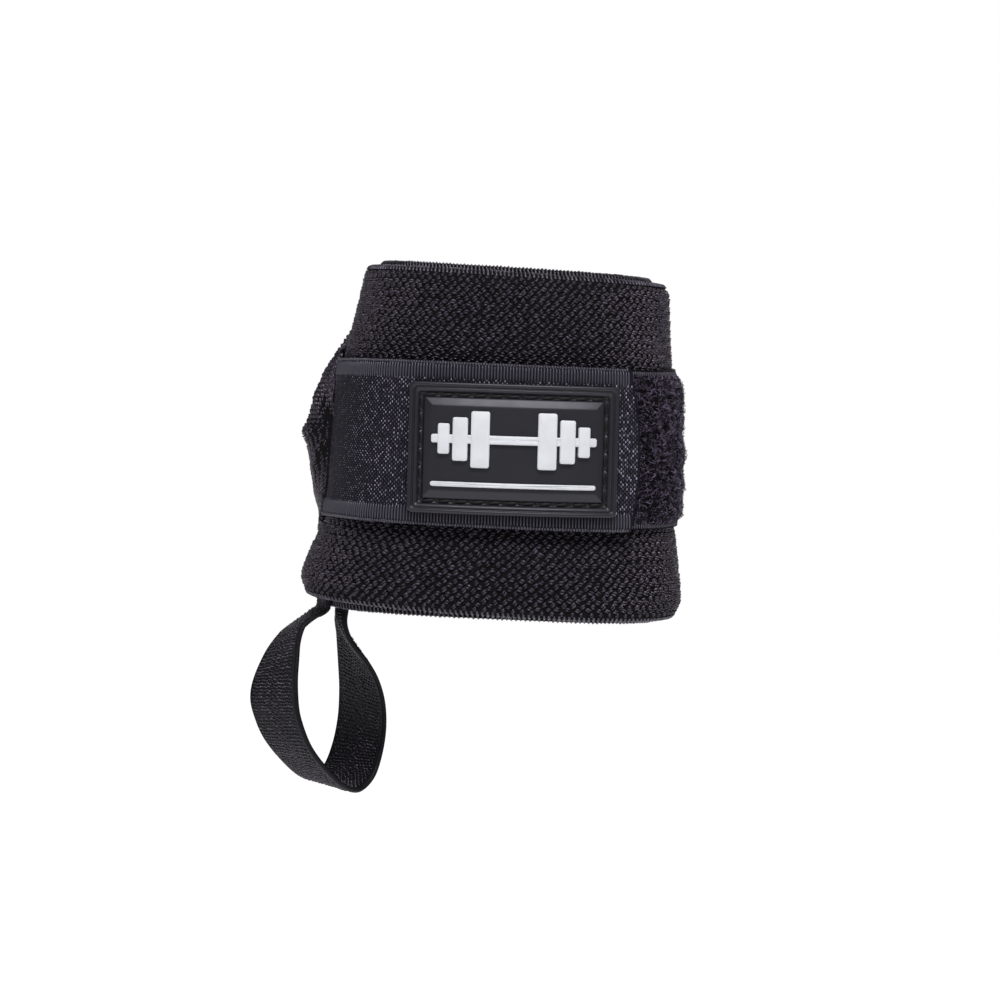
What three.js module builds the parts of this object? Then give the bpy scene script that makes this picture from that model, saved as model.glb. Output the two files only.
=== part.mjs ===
// A gym wrist wrap in the shape that it has when worn: a wide elastic band wound twice round the wrist,
// a closure strap of hook tape that holds on a patch of loop pile, a moulded rubber patch on the strap,
// and a narrow elastic thumb loop whose two ends hold the inner end of the band between them.
//
// Millimetres and degrees. +Z points up the forearm, -Y out of the back of the hand and -X to the thumb.
// The origin is the middle of the hollow that the wrist fills.
import * as THREE from "three";

// Free space between layers that lie on each other, and the least gap that is left
const clearance = 0.3;
const windingGap = 0.35; // between one turn of the band and the next

// Band: sizes over the outside of the turn that shows
const bandWidth = 80;
const bandThickness = 2.4;
const armBreadth = 74;
const handBreadth = 93;
const armDepth = 54;
const handDepth = 62;
const squareness = 2.3; // exponent of the cross-section: 2 is an ellipse, more is squarer
const innerRise = 1.2; // the inner turn shows above the outer one
const innerDrop = 2.4; // and below it, on the thumb side
const innerDropInFront = 0.35; // share of that drop at the middle of the back of the hand
const bandStartTurn = 155; // winding angles are in degrees, and go on counting past 360
const bandEndTurn = 905;
const dropFadeTurns = [200, 290]; // the drop shrinks to its share in front between these
const levelTurns = [400, 490]; // the edges of the two turns come level between these
const lowerEdgeHeights = [0.012, 0.03]; // the drop and the rise end between these shares of the height
const upperEdgeHeights = [0.94, 0.988];
const shownTurn = 630; // winding angle at the middle of the back of the hand on the turn that shows
const bandSegmentsPerTurn = 36;

// Gathered outer end of the band, sewn over the root of the closure strap
const gatherStartTurn = bandEndTurn - 67;
const gatherSettledTurns = 4; // the width is fully gathered this far before the end
const hemTurns = [42, 8]; // the end swells to its bunch between these distances from the end
const tuckedHeights = [0.95, 0.976]; // its corners tuck in between these shares from the middle to an edge
const tuckedInset = 0.2;
const leastBunch = 1;
const gatheredWidth = 42;
const gatheredCentre = -1.4;
const bunchHeight = 7.1; // from the strap's face to the peak of the gathered end
const pleatDepth = 0.4;
const pleatCount = 4;

// Closure strap
const strapWidth = 38.2;
const strapThickness = 1.1;
const strapEdgeInset = 0.22;
const strapRootTurn = bandEndTurn - 379;
const strapTipTurn = strapRootTurn + 144.6; // at the corners of the tip
const tipBowTurns = 3.9; // the middle of the tip reaches this much further
const tipLeanTurns = 0.8; // and its lower corner this much further than its upper one
const strapLiftLeadTurns = 10; // the outer end is clear of the strap this far before its root
const strapSegments = 32;
const closureCentreAtRoot = -2.1; // the strap and the pile patch lie on one line that climbs to the right
const closureRise = 2.5; // over the strap's length

// Loop pile patch on the band
const pileWidth = 37.6;
const pileMargin = 1.4; // flat woven edge on each side of the pile
const pileBacking = 0.7;
const pileCovered = 1.5; // thickness where the strap presses it down
const pileOpen = 2.5;
const pileLump = 0.35;
const pileStartTurn = strapRootTurn + 68;
const pileEndTurn = strapRootTurn + 236;
const pileStepTurns = [12, 2]; // the strap climbs on to the patch between these distances from it
const pileFirstEdgeTurns = 2;
const pileLastEdgeTurns = 4;
const pileOpensTurns = [3, 9]; // the pile stands up between these distances from the strap's tip
const lumpTurnRates = [0.42, 0.23]; // the lumps are two crossed waves, by turn and by share of the width
const lumpShareRates = [9, 14];
const pileSegments = 36;

// Rubber patch on the strap
const rubberLength = 48.3;
const rubberHeight = 30.4;
const rubberCorner = 1.1;
const rubberLeastCorner = 0.3;
const rubberCentreTurn = strapRootTurn + 107.5;
const rubberCentreHeight = -1;
const rubberTilt = 2;
const rubberBase = 1.1; // thickness under the stitch groove
const rubberRim = 1.9;
const rubberPanel = 2.2;
const rimWidth = 0.7;
const rimRound = 0.25;
const grooveInset = 2.5;
const grooveWidth = 0.7;
const panelBevel = 1.7;
const panelFoot = 0.1; // the panel's side is steep for this much inwards and panelWall upwards
const panelWall = 0.35;

// Raised barbell and rule on the rubber patch
const emblemRelief = 0.6;
const barLength = 37;
const barHeight = 2;
const barbellRise = 2.2;
const innerGrip = 5.4; // from the middle of the bar to the first plate
const plateGap = 0.7;
const plateDraft = 0.25;
const ruleLength = 37;
const ruleHeight = 1.1;
const ruleDrop = 8.2;

// Thumb loop
const loopWidth = 19;
const loopThickness = 1.3;
const loopDrop = 47.5; // from the band's hand edge to the lowest point of its middle line
const loopReach = 9; // how far the leg swings out to the thumb
const loopSpread = 16; // from the tabs to the leg on the palm side
const loopTabTurn = 186;
const loopTabGap = 0.42; // free space on each face of a tab, which the seam closes on the real wrap
const tabRoomTurns = [70, 115]; // the room for the tab closes between these distances from the band's start
const tabRoomHeights = [0.26, 0.45]; // and between these shares of the band's height
const loopSegments = 56;

const bandPitch = bandThickness + windingGap;
const handEdge = -bandWidth / 2;

// How far each side has flared from its forearm size (0) to its hand size (1), by height from the hand
// edge (0) to the forearm edge (1), with the share of the band's full thickness at that height.
// The strap draws the band in between heights 0.24 and 0.74.
const flareRows = [
  { height: 0.0, thumb: 0.96, little: 0.72, back: 0.84, palm: 0.88, thickness: 0.45 },
  { height: 0.012, thumb: 1.01, little: 0.81, back: 0.92, palm: 0.95, thickness: 0.75 },
  { height: 0.03, thumb: 1.07, little: 0.88, back: 0.97, palm: 0.99, thickness: 1 },
  { height: 0.055, thumb: 1.1, little: 0.9, back: 0.99, palm: 1.0, thickness: 1 },
  { height: 0.08, thumb: 1.06, little: 0.88, back: 0.97, palm: 0.98, thickness: 1 },
  { height: 0.11, thumb: 0.98, little: 0.84, back: 0.93, palm: 0.93, thickness: 1 },
  { height: 0.17, thumb: 0.79, little: 0.76, back: 0.82, palm: 0.83, thickness: 1 },
  { height: 0.23, thumb: 0.58, little: 0.67, back: 0.68, palm: 0.72, thickness: 1 },
  { height: 0.3, thumb: 0.46, little: 0.56, back: 0.58, palm: 0.62, thickness: 1 },
  { height: 0.4, thumb: 0.43, little: 0.49, back: 0.54, palm: 0.56, thickness: 1 },
  { height: 0.5, thumb: 0.42, little: 0.43, back: 0.5, palm: 0.5, thickness: 1 },
  { height: 0.6, thumb: 0.4, little: 0.35, back: 0.45, palm: 0.45, thickness: 1 },
  { height: 0.7, thumb: 0.38, little: 0.28, back: 0.4, palm: 0.4, thickness: 1 },
  { height: 0.76, thumb: 0.28, little: 0.25, back: 0.36, palm: 0.33, thickness: 1 },
  { height: 0.84, thumb: 0.15, little: 0.17, back: 0.28, palm: 0.25, thickness: 1 },
  { height: 0.94, thumb: 0.0, little: 0.08, back: 0.14, palm: 0.1, thickness: 1 },
  { height: 0.988, thumb: -0.07, little: 0.0, back: 0.02, palm: 0.0, thickness: 0.75 },
  { height: 1.0, thumb: -0.13, little: -0.1, back: -0.06, palm: -0.06, thickness: 0.45 },
];

// How far the outer face of the gathered end stands out from the strap, as a share of bunchHeight, by
// height from the lower edge (0) of the gathered width to the upper one (1).
const gatherRows = [
  { height: 0.0, standsOut: 0.03 },
  { height: 0.06, standsOut: 0.22 },
  { height: 0.14, standsOut: 0.46 },
  { height: 0.28, standsOut: 0.68 },
  { height: 0.42, standsOut: 0.9 },
  { height: 0.49, standsOut: 1.0 },
  { height: 0.56, standsOut: 0.97 },
  { height: 0.63, standsOut: 0.87 },
  { height: 0.81, standsOut: 0.55 },
  { height: 0.95, standsOut: 0.2 },
  { height: 1.0, standsOut: 0.05 },
];

// Middle line of the thumb loop from its outer tab, down over the back of the thumb, round below it and
// up the palm side to its inner tab. outward is a share of loopReach towards the thumb, palmward a share
// of loopSpread and drop a share of loopDrop. turn is how far the width has turned from the palm
// towards the thumb, in degrees, and held is 1 where the band's turns grip the loop.
const loopRows = [
  { outward: 0.0, palmward: 0.0, drop: -0.29, turn: 0, held: 1 },
  { outward: 0.0, palmward: 0.0, drop: -0.16, turn: 0, held: 1 },
  { outward: 0.0, palmward: 0.0, drop: -0.03, turn: 0, held: 1 },
  { outward: 0.05, palmward: 0.0, drop: 0.06, turn: 1, held: 1 },
  { outward: 0.36, palmward: -0.02, drop: 0.12, turn: 6, held: 0.35 },
  { outward: 0.68, palmward: -0.14, drop: 0.2, turn: 13, held: 0 },
  { outward: 0.9, palmward: -0.28, drop: 0.3, turn: 24, held: 0 },
  { outward: 1.0, palmward: -0.44, drop: 0.42, turn: 35, held: 0 },
  { outward: 1.0, palmward: -0.52, drop: 0.54, turn: 42, held: 0 },
  { outward: 0.85, palmward: -0.52, drop: 0.65, turn: 43, held: 0 },
  { outward: 0.55, palmward: -0.46, drop: 0.77, turn: 43, held: 0 },
  { outward: 0.12, palmward: -0.3, drop: 0.88, turn: 43, held: 0 },
  { outward: -0.33, palmward: -0.06, drop: 0.97, turn: 43, held: 0 },
  { outward: -0.7, palmward: 0.2, drop: 1.0, turn: 43, held: 0 },
  { outward: -1.02, palmward: 0.44, drop: 0.95, turn: 43, held: 0 },
  { outward: -1.2, palmward: 0.6, drop: 0.84, turn: 43, held: 0 },
  { outward: -1.28, palmward: 0.66, drop: 0.7, turn: 42, held: 0 },
  { outward: -1.24, palmward: 0.62, drop: 0.55, turn: 39, held: 0 },
  { outward: -1.1, palmward: 0.5, drop: 0.41, turn: 32, held: 0 },
  { outward: -0.9, palmward: 0.33, drop: 0.28, turn: 20, held: 0 },
  { outward: -0.68, palmward: 0.14, drop: 0.17, turn: 8, held: 0.25 },
  { outward: -0.51, palmward: 0.03, drop: 0.08, turn: 1, held: 1 },
  { outward: -0.48, palmward: 0.0, drop: -0.03, turn: 0, held: 1 },
  { outward: -0.48, palmward: 0.0, drop: -0.16, turn: 0, held: 1 },
  { outward: -0.48, palmward: 0.0, drop: -0.29, turn: 0, held: 1 },
];

// Section of the thumb loop across its width, in shares of its width and thickness: its edges are rolled
const loopSectionRows = [
  { share: 0.5, thickness: 0.4 },
  { share: 0.475, thickness: 1 },
  { share: 0.43, thickness: 0.9 },
  { share: 0.38, thickness: 0.75 },
  { share: 0.19, thickness: 0.8 },
  { share: 0.0, thickness: 0.8 },
  { share: -0.19, thickness: 0.8 },
  { share: -0.38, thickness: 0.75 },
  { share: -0.43, thickness: 0.9 },
  { share: -0.475, thickness: 1 },
  { share: -0.5, thickness: 0.4 },
];

// Plates of the barbell from the middle outwards
const plateRows = [
  { width: 4.2, height: 13 },
  { width: 3.4, height: 10 },
  { width: 2.6, height: 7 },
];

const radians = THREE.MathUtils.degToRad;
const lerp = THREE.MathUtils.lerp;
const smoothstep = THREE.MathUtils.smoothstep;

// The value of a column at a height, by straight lines between the rows of a table.
function lookUp(rows, key, column, at) {
  const next = Math.max(1, rows.findIndex((row) => row[key] >= at));
  const above = at > rows.at(-1)[key] ? rows.at(-1) : rows[next];
  const below = at > rows.at(-1)[key] ? above : rows[next - 1];
  const share = above === below ? 0 : (at - below[key]) / (above[key] - below[key]);
  return lerp(below[column], above[column], THREE.MathUtils.clamp(share, 0, 1));
}

// A point beside the face of the turn that shows, at a winding angle and height, offset outwards.
function wrapPoint(turn, z, offset) {
  const height = (z - handEdge) / bandWidth;
  const half = (side, arm, hand) => lerp(arm, hand, lookUp(flareRows, "height", side, height)) / 2 + offset;
  const across = Math.cos(radians(turn));
  const through = Math.sin(radians(turn));
  const square = (Math.abs(across) ** squareness + Math.abs(through) ** squareness) ** (-1 / squareness);
  const breadth = half(across < 0 ? "thumb" : "little", armBreadth, handBreadth);
  const depth = half(through < 0 ? "back" : "palm", armDepth, handDepth);
  return new THREE.Vector3(across * square * breadth, through * square * depth, z);
}

// The direction straight out of the wrap's face at a winding angle and height.
function wrapNormal(turn, z, offset) {
  const probe = 0.5;
  const around = wrapPoint(turn + probe, z, offset).sub(wrapPoint(turn - probe, z, offset));
  const upwards = wrapPoint(turn, z + probe, offset).sub(wrapPoint(turn, z - probe, offset));
  return around.cross(upwards).normalize();
}

// How far out the winding has carried the band's outer face, measured from the shown turn's middle.
function windingOffset(turn) {
  return (bandPitch * (turn - shownTurn)) / 360;
}

// The winding angle that lies a distance along the band from another.
function turnAlong(turn, distance, z, offset) {
  const steps = 24;
  const probe = 0.5;
  let at = turn;
  for (let step = 0; step < steps; step++) {
    const speed = wrapPoint(at + probe, z, offset).distanceTo(wrapPoint(at - probe, z, offset)) / (2 * probe);
    at += distance / steps / speed;
  }
  return at;
}

// A closed geometry through rings of points. Each ring runs clockwise seen from where the sweep goes,
// and its points i and count - 1 - i face each other across the piece.
function sweptGeometry(rings) {
  const count = rings[0].length;
  const positions = rings.flat().flatMap((point) => point.toArray());
  const index = [];
  const at = (ring, point) => ring * count + (point % count);
  for (let ring = 0; ring < rings.length - 1; ring++) {
    for (let point = 0; point < count; point++) {
      index.push(at(ring, point), at(ring + 1, point), at(ring + 1, point + 1));
      index.push(at(ring, point), at(ring + 1, point + 1), at(ring, point + 1));
    }
  }
  const last = rings.length - 1;
  for (let point = 0; point < count / 2 - 1; point++) {
    const facing = count - 1 - point;
    index.push(at(0, point), at(0, point + 1), at(0, facing - 1));
    index.push(at(0, point), at(0, facing - 1), at(0, facing));
    index.push(at(last, point), at(last, facing), at(last, facing - 1));
    index.push(at(last, point), at(last, facing - 1), at(last, point + 1));
  }
  const geometry = new THREE.BufferGeometry();
  geometry.setAttribute("position", new THREE.Float32BufferAttribute(positions, 3));
  geometry.setIndex(index);
  geometry.computeVertexNormals();
  return geometry;
}

// Room that the inner turn leaves for the thumb loop's outer tab, as an inward dent.
function tabDent(turn, height) {
  const [closing, closed] = tabRoomTurns;
  const inTurn = 1 - smoothstep(turn, bandStartTurn + closing, bandStartTurn + closed);
  const inHeight = 1 - smoothstep(height, ...tabRoomHeights);
  return (loopThickness + 2 * loopTabGap + bandThickness - bandPitch) * inTurn * inHeight;
}

// Room that the outer end leaves for the root of the strap.
function strapLift(turn) {
  const clearTurn = strapRootTurn + 360 - strapLiftLeadTurns;
  return (strapThickness + 2 * clearance) * smoothstep(turn, gatherStartTurn, clearTurn);
}

// One ring of the band: up its outer face and down its inner one.
function bandSection(turn) {
  const [hemStart, hemFull] = hemTurns;
  const innerTurn = 1 - smoothstep(turn, ...levelTurns);
  const gathered = smoothstep(turn, gatherStartTurn, bandEndTurn - gatherSettledTurns);
  const thumbSide = 1 - smoothstep(turn, ...dropFadeTurns);
  const drop = innerTurn * lerp(innerDropInFront, 1, thumbSide) * innerDrop;
  const hem = smoothstep(turn, bandEndTurn - hemStart, bandEndTurn - hemFull);
  const endSeat = strapSeat(strapRootTurn) + strapThickness;
  const outerFace = [];
  const innerFace = [];
  for (const row of flareRows) {
    const rise = innerTurn * innerRise * smoothstep(row.height, ...upperEdgeHeights);
    const fall = drop * (1 - smoothstep(row.height, ...lowerEdgeHeights));
    const spread = handEdge + row.height * bandWidth + rise - fall;
    const z = lerp(spread, gatheredCentre + (row.height - 0.5) * gatheredWidth, gathered);
    const thinned = ((1 - row.thickness) * bandThickness) / 2;
    const tucked = gathered * smoothstep(Math.abs(2 * row.height - 1), ...tuckedHeights);
    const lift = strapLift(turn) * (1 - tucked) - tabDent(turn, row.height);
    const inner = windingOffset(turn) + lift - bandThickness + lerp(thinned, tuckedInset, tucked);
    const outer = windingOffset(turn) + lift - thinned;
    const pleat = pleatDepth * Math.cos(2 * Math.PI * pleatCount * row.height);
    const bunched = endSeat + bunchHeight * lookUp(gatherRows, "height", "standsOut", row.height) + pleat;
    innerFace.unshift(wrapPoint(turn, z, inner));
    outerFace.push(wrapPoint(turn, z, lerp(outer, Math.max(bunched, inner + leastBunch), hem)));
  }
  return [...outerFace, ...innerFace];
}

function elasticBand() {
  const count = Math.round(((bandEndTurn - bandStartTurn) / 360) * bandSegmentsPerTurn);
  const rings = [];
  for (let step = 0; step <= count; step++) {
    rings.push(bandSection(lerp(bandStartTurn, bandEndTurn, step / count)));
  }
  return sweptGeometry(rings);
}

// The strap's inner face, as an offset from the face of the turn that shows.
function strapSeat(turn) {
  const [stepStart, stepEnd] = pileStepTurns;
  const climb = smoothstep(turn, pileStartTurn - stepStart, pileStartTurn - stepEnd);
  const overPile = climb * (pileCovered + clearance);
  return windingOffset(turn) + clearance + overPile;
}

// The height of the line on which the strap and the pile patch are centred.
function closureCentre(turn) {
  return closureCentreAtRoot + (closureRise * (turn - strapRootTurn)) / (strapTipTurn - strapRootTurn);
}

function closureStrap() {
  const acrossShares = [-0.5, -0.48, -0.32, 0, 0.32, 0.48, 0.5];
  const rings = [];
  for (let step = 0; step <= strapSegments; step++) {
    const along = step / strapSegments;
    const outerFace = [];
    const innerFace = [];
    for (const share of acrossShares) {
      const tipSet = tipBowTurns * (1 - (2 * share) ** 2) - tipLeanTurns * share;
      const turn = lerp(strapRootTurn, strapTipTurn + tipSet, along);
      const z = closureCentre(turn) + share * strapWidth;
      const edge = Math.abs(share) === 0.5 ? strapEdgeInset : 0;
      outerFace.push(wrapPoint(turn, z, strapSeat(turn) + strapThickness - edge));
      innerFace.unshift(wrapPoint(turn, z, strapSeat(turn) + edge));
    }
    rings.push([...outerFace, ...innerFace]);
  }
  return sweptGeometry(rings);
}

// Thickness of the pile patch: flat margins, pressed down under the strap and lumpy beyond it.
function pileThickness(turn, share) {
  const fromEdge = (0.5 - Math.abs(share)) * pileWidth;
  const inPile = smoothstep(fromEdge, pileMargin * 0.8, pileMargin * 1.6);
  const fromStart = smoothstep(turn, pileStartTurn, pileStartTurn + pileFirstEdgeTurns);
  const fromEnd = 1 - smoothstep(turn, pileEndTurn - pileLastEdgeTurns, pileEndTurn);
  const [opening, opened] = pileOpensTurns;
  const tip = strapTipTurn + tipBowTurns;
  const open = smoothstep(turn, tip + opening, tip + opened);
  const [turnRate, crossTurnRate] = lumpTurnRates;
  const [shareRate, crossShareRate] = lumpShareRates;
  const wave = Math.sin(turnRate * turn + shareRate * share);
  const lumps = pileLump * wave * Math.cos(crossShareRate * share + crossTurnRate * turn);
  const pile = lerp(pileCovered, pileOpen + lumps, open);
  return lerp(pileBacking, pile, inPile * fromStart * fromEnd);
}

function loopPatch() {
  const acrossShares = [-0.5, -0.462, -0.43, -0.36, -0.24, -0.12, 0, 0.12, 0.24, 0.36, 0.43, 0.462, 0.5];
  const rings = [];
  for (let step = 0; step <= pileSegments; step++) {
    const turn = lerp(pileStartTurn, pileEndTurn, step / pileSegments);
    const outerFace = [];
    const innerFace = [];
    for (const share of acrossShares) {
      const z = closureCentre(turn) + share * pileWidth;
      const seat = windingOffset(turn) + clearance;
      outerFace.push(wrapPoint(turn, z, seat + pileThickness(turn, share)));
      innerFace.unshift(wrapPoint(turn, z, seat));
    }
    rings.push([...outerFace, ...innerFace]);
  }
  return sweptGeometry(rings);
}

// Bends a flat point of the rubber patch, along, up and out from its middle, on to the strap's face.
function onStrap(along, up, out) {
  const tilt = radians(rubberTilt);
  const z = rubberCentreHeight + along * Math.sin(tilt) + up * Math.cos(tilt);
  const seat = strapSeat(rubberCentreTurn) + strapThickness;
  const around = along * Math.cos(tilt) - up * Math.sin(tilt);
  const turn = turnAlong(rubberCentreTurn, around, z, seat);
  const face = wrapPoint(turn, z, strapSeat(turn) + strapThickness);
  return face.addScaledVector(wrapNormal(turn, z, seat), clearance + out);
}

function rubberRing(inset, out) {
  const halfLength = rubberLength / 2 - inset;
  const halfHeight = rubberHeight / 2 - inset;
  const corner = Math.max(rubberLeastCorner, rubberCorner - inset / 2);
  const cornerSteps = 3;
  const sideSteps = 16;
  const flat = [];
  for (let step = 0; step <= cornerSteps; step++) {
    const angle = (step / cornerSteps) * (Math.PI / 2);
    flat.push([-halfLength + corner * (1 - Math.cos(angle)), halfHeight - corner * (1 - Math.sin(angle))]);
  }
  for (let step = 1; step < sideSteps; step++) {
    flat.push([lerp(-halfLength + corner, halfLength - corner, step / sideSteps), halfHeight]);
  }
  const upper = [...flat, ...flat.slice(0, cornerSteps + 1).reverse().map(([along, up]) => [-along, up])];
  const lower = upper.map(([along, up]) => [along, -up]).reverse();
  return [...upper, ...lower].map(([along, up]) => onStrap(along, up, out));
}

function rubberPatch() {
  const bevelStart = grooveInset + grooveWidth;
  const profile = [
    { inset: 0, out: 0 },
    { inset: 0, out: rubberRim - rimRound },
    { inset: rimRound, out: rubberRim },
    { inset: rimWidth, out: rubberRim },
    { inset: grooveInset, out: rubberBase },
    { inset: bevelStart, out: rubberBase },
    { inset: bevelStart + panelFoot, out: rubberBase + panelWall },
    { inset: bevelStart + panelBevel, out: rubberPanel },
  ];
  return sweptGeometry(profile.map(({ inset, out }) => rubberRing(inset, out)));
}

// The upper half of a barbell's outline, left to right, with the bar's long stretches divided.
function barbellUpperEdge() {
  const plates = [];
  let from = innerGrip;
  for (const { width, height } of plateRows) {
    plates.push({ from, to: from + width, height });
    from += width + plateGap;
  }
  const right = [];
  for (const { from: near, to, height } of plates) {
    right.push([near, barHeight / 2], [near + plateDraft, height / 2]);
    right.push([to - plateDraft, height / 2], [to, barHeight / 2]);
  }
  right.push([barLength / 2, barHeight / 2]);
  const left = right.map(([along, up]) => [-along, up]).reverse();
  const gripSteps = 4;
  const grip = [];
  for (let step = 1; step < gripSteps; step++) {
    grip.push([lerp(-innerGrip, innerGrip, step / gripSteps), barHeight / 2]);
  }
  return [...left, ...grip, ...right];
}

function ruleUpperEdge() {
  const steps = 12;
  const edge = [];
  for (let step = 0; step <= steps; step++) {
    edge.push([lerp(-ruleLength / 2, ruleLength / 2, step / steps), ruleHeight / 2]);
  }
  return edge;
}

// A raised shape on the rubber panel, mirrored below its upper edge and bent with the patch.
function reliefGeometry(upperEdge, rise) {
  const lowerEdge = upperEdge.map(([along, up]) => [along, -up]).reverse();
  const ringAt = (out) => [...upperEdge, ...lowerEdge].map(([along, up]) => onStrap(along, up + rise, out));
  const seat = rubberPanel + clearance;
  return sweptGeometry([ringAt(seat), ringAt(seat + emblemRelief)]);
}

// Where the band grips the loop: outside the inner turn for its outer tab, inside it for its inner tab.
function loopTabPoint(share, out, z, outerTab) {
  const innerTurnFace = windingOffset(loopTabTurn) - tabDent(loopTabTurn, 0);
  const middle = outerTab
    ? innerTurnFace + loopTabGap + loopThickness / 2
    : innerTurnFace - bandThickness - loopTabGap - loopThickness / 2;
  const turn = turnAlong(loopTabTurn, -share * loopWidth, z, middle);
  return wrapPoint(turn, z, middle + (outerTab ? out : -out));
}

function thumbLoop() {
  const anchor = loopTabPoint(0, 0, handEdge, true);
  const routePoint = (row) =>
    new THREE.Vector3(
      anchor.x - row.outward * loopReach,
      anchor.y + row.palmward * loopSpread,
      handEdge - row.drop * loopDrop,
    );
  const route = new THREE.CatmullRomCurve3(loopRows.map(routePoint), false, "centripetal");
  const last = loopRows.length - 1;
  const rings = [];
  for (let step = 0; step <= loopSegments; step++) {
    const along = step / loopSegments;
    const row = Math.min(last - 1, Math.floor(along * last));
    const between = along * last - row;
    const middle = route.getPoint(along);
    const forward = route.getTangent(along);
    const turn = radians(90 + lerp(loopRows[row].turn, loopRows[row + 1].turn, between));
    const held = lerp(loopRows[row].held, loopRows[row + 1].held, between);
    const width = new THREE.Vector3(Math.cos(turn), Math.sin(turn), 0);
    width.addScaledVector(forward, -width.dot(forward)).normalize();
    const outward = new THREE.Vector3().crossVectors(width, forward);
    const place = (share, out) => {
      const free = middle.clone().addScaledVector(width, share * loopWidth).addScaledVector(outward, out);
      const tab = loopTabPoint(share, out, middle.z, along < 0.5);
      return free.lerp(tab, held);
    };
    const outerFace = [];
    const innerFace = [];
    for (const { share, thickness } of loopSectionRows) {
      outerFace.push(place(share, (thickness * loopThickness) / 2));
      innerFace.unshift(place(share, (-thickness * loopThickness) / 2));
    }
    rings.push([...outerFace, ...innerFace]);
  }
  return sweptGeometry(rings);
}

function fabric(color, roughness) {
  return new THREE.MeshStandardMaterial({ color, roughness, metalness: 0 });
}

const offWhite = fabric(0xd9dadd, 0.55);
const pieces = [
  { name: "elastic_band", geometry: elasticBand(), material: fabric(0x1b1a1d, 0.95) },
  { name: "closure_strap", geometry: closureStrap(), material: fabric(0x202027, 0.7) },
  { name: "loop_patch", geometry: loopPatch(), material: fabric(0x17151d, 1) },
  { name: "thumb_loop", geometry: thumbLoop(), material: fabric(0x1d1c20, 0.85) },
  { name: "rubber_patch", geometry: rubberPatch(), material: fabric(0x26262a, 0.5) },
  { name: "emblem_barbell", geometry: reliefGeometry(barbellUpperEdge(), barbellRise), material: offWhite },
  { name: "emblem_rule", geometry: reliefGeometry(ruleUpperEdge(), -ruleDrop), material: offWhite },
];

const wristWrap = new THREE.Group();
for (const { name, geometry, material } of pieces) {
  const mesh = new THREE.Mesh(geometry, material);
  mesh.name = name;
  wristWrap.add(mesh);
}

export default wristWrap;
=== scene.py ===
"""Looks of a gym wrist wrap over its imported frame: knit, woven tape, loop pile and moulded rubber.

Sizes are in millimetres and degrees until a mesh is made. The wrap's surface is described by a winding
angle (turn), a height (z) and an offset out of the turn that shows, as in the part's own source.
"""

import math

import bpy
import numpy as np
from mathutils import Matrix, Vector


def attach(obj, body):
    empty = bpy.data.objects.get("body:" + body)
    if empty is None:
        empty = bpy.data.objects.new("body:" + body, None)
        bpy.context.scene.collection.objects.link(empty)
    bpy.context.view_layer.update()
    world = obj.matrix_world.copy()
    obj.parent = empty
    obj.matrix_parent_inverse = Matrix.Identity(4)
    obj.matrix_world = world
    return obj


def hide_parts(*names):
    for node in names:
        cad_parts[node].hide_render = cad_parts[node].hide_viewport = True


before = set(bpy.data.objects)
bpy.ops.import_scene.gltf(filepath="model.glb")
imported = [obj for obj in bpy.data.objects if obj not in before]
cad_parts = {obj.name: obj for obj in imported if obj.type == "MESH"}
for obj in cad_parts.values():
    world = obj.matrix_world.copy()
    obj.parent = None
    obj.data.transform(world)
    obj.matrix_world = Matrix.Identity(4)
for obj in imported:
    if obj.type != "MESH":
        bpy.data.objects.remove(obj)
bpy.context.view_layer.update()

MM = 0.001
rng = np.random.default_rng(7)

# Band, over the outside of the turn that shows
BAND_WIDTH = 80.0
BAND_THICKNESS = 2.4
ARM_BREADTH = 74.0
HAND_BREADTH = 93.0
ARM_DEPTH = 54.0
HAND_DEPTH = 62.0
SQUARENESS = 2.3
BAND_PITCH = 2.75
BAND_START = 155.0
BAND_END = 905.0
SHOWN_TURN = 630.0
INNER_TURN_RISE = 1.2
INNER_TURN_DROP = 2.4
HAND_EDGE = -BAND_WIDTH / 2
GATHER_START = 838.0
GATHERED_WIDTH = 42.0
GATHERED_CENTRE = -1.4
GATHER_TURNS = (GATHER_START, BAND_END - 4)
GATHER_LIFT = 1.7
LIFT_TURNS = (GATHER_START, 876)
BUNCH_HEIGHT = 7.1

# Where the band's faces change, as winding angles or as shares of its width
LEVEL_TURNS = (400, 490)  # the inner turn comes up to the height of the next
DROP_TURNS = (200, 290)  # its drop lessens towards the front, to this share
DROP_IN_FRONT = 0.35
RISEN_SHARES = (0.94, 0.988)
DROPPED_SHARES = (0.012, 0.03)
ROUND_SHARE = 0.014  # both edges are rounded over this share of the width
EDGE_THINNING = 0.3  # of the thickness
TAB_ROOM = 1.79  # dent over the thumb loop's outer end
TAB_ROOM_TURNS = (225, 270)
TAB_ROOM_SHARES = (0.26, 0.45)
TUCKED_SHARES = (0.95, 0.976)  # of half the width: the gathered end's edges are tucked under
HEM_TURNS = (BAND_END - 42, BAND_END - 8)
LEAST_THICKNESS = 0.2

# Strap and pile patch, which lie on one line
STRAP_WIDTH = 38.2
STRAP_THICKNESS = 1.1
STRAP_ROOT = 526.0
STRAP_TIP = 670.6  # at the corners of the tip
TIP_BOW = 3.9  # the middle of the tip reaches this much further
TIP_LEAN = 0.8  # and its lower corner this much further than its upper one
CLOSURE_CENTRE_AT_ROOT = -2.1
CLOSURE_RISE = 2.5
PILE_WIDTH = 37.6
PILE_START = 594.0
PILE_END = 762.0
PILE_COVERED = 1.5
PILE_OPEN = 2.5
PILE_WEAVE = 0.7  # thickness of its woven edges
PILE_EDGE = (1.1, 2.3)  # the pile rises between these distances from the patch's edge
CLEARANCE = 0.3

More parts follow.
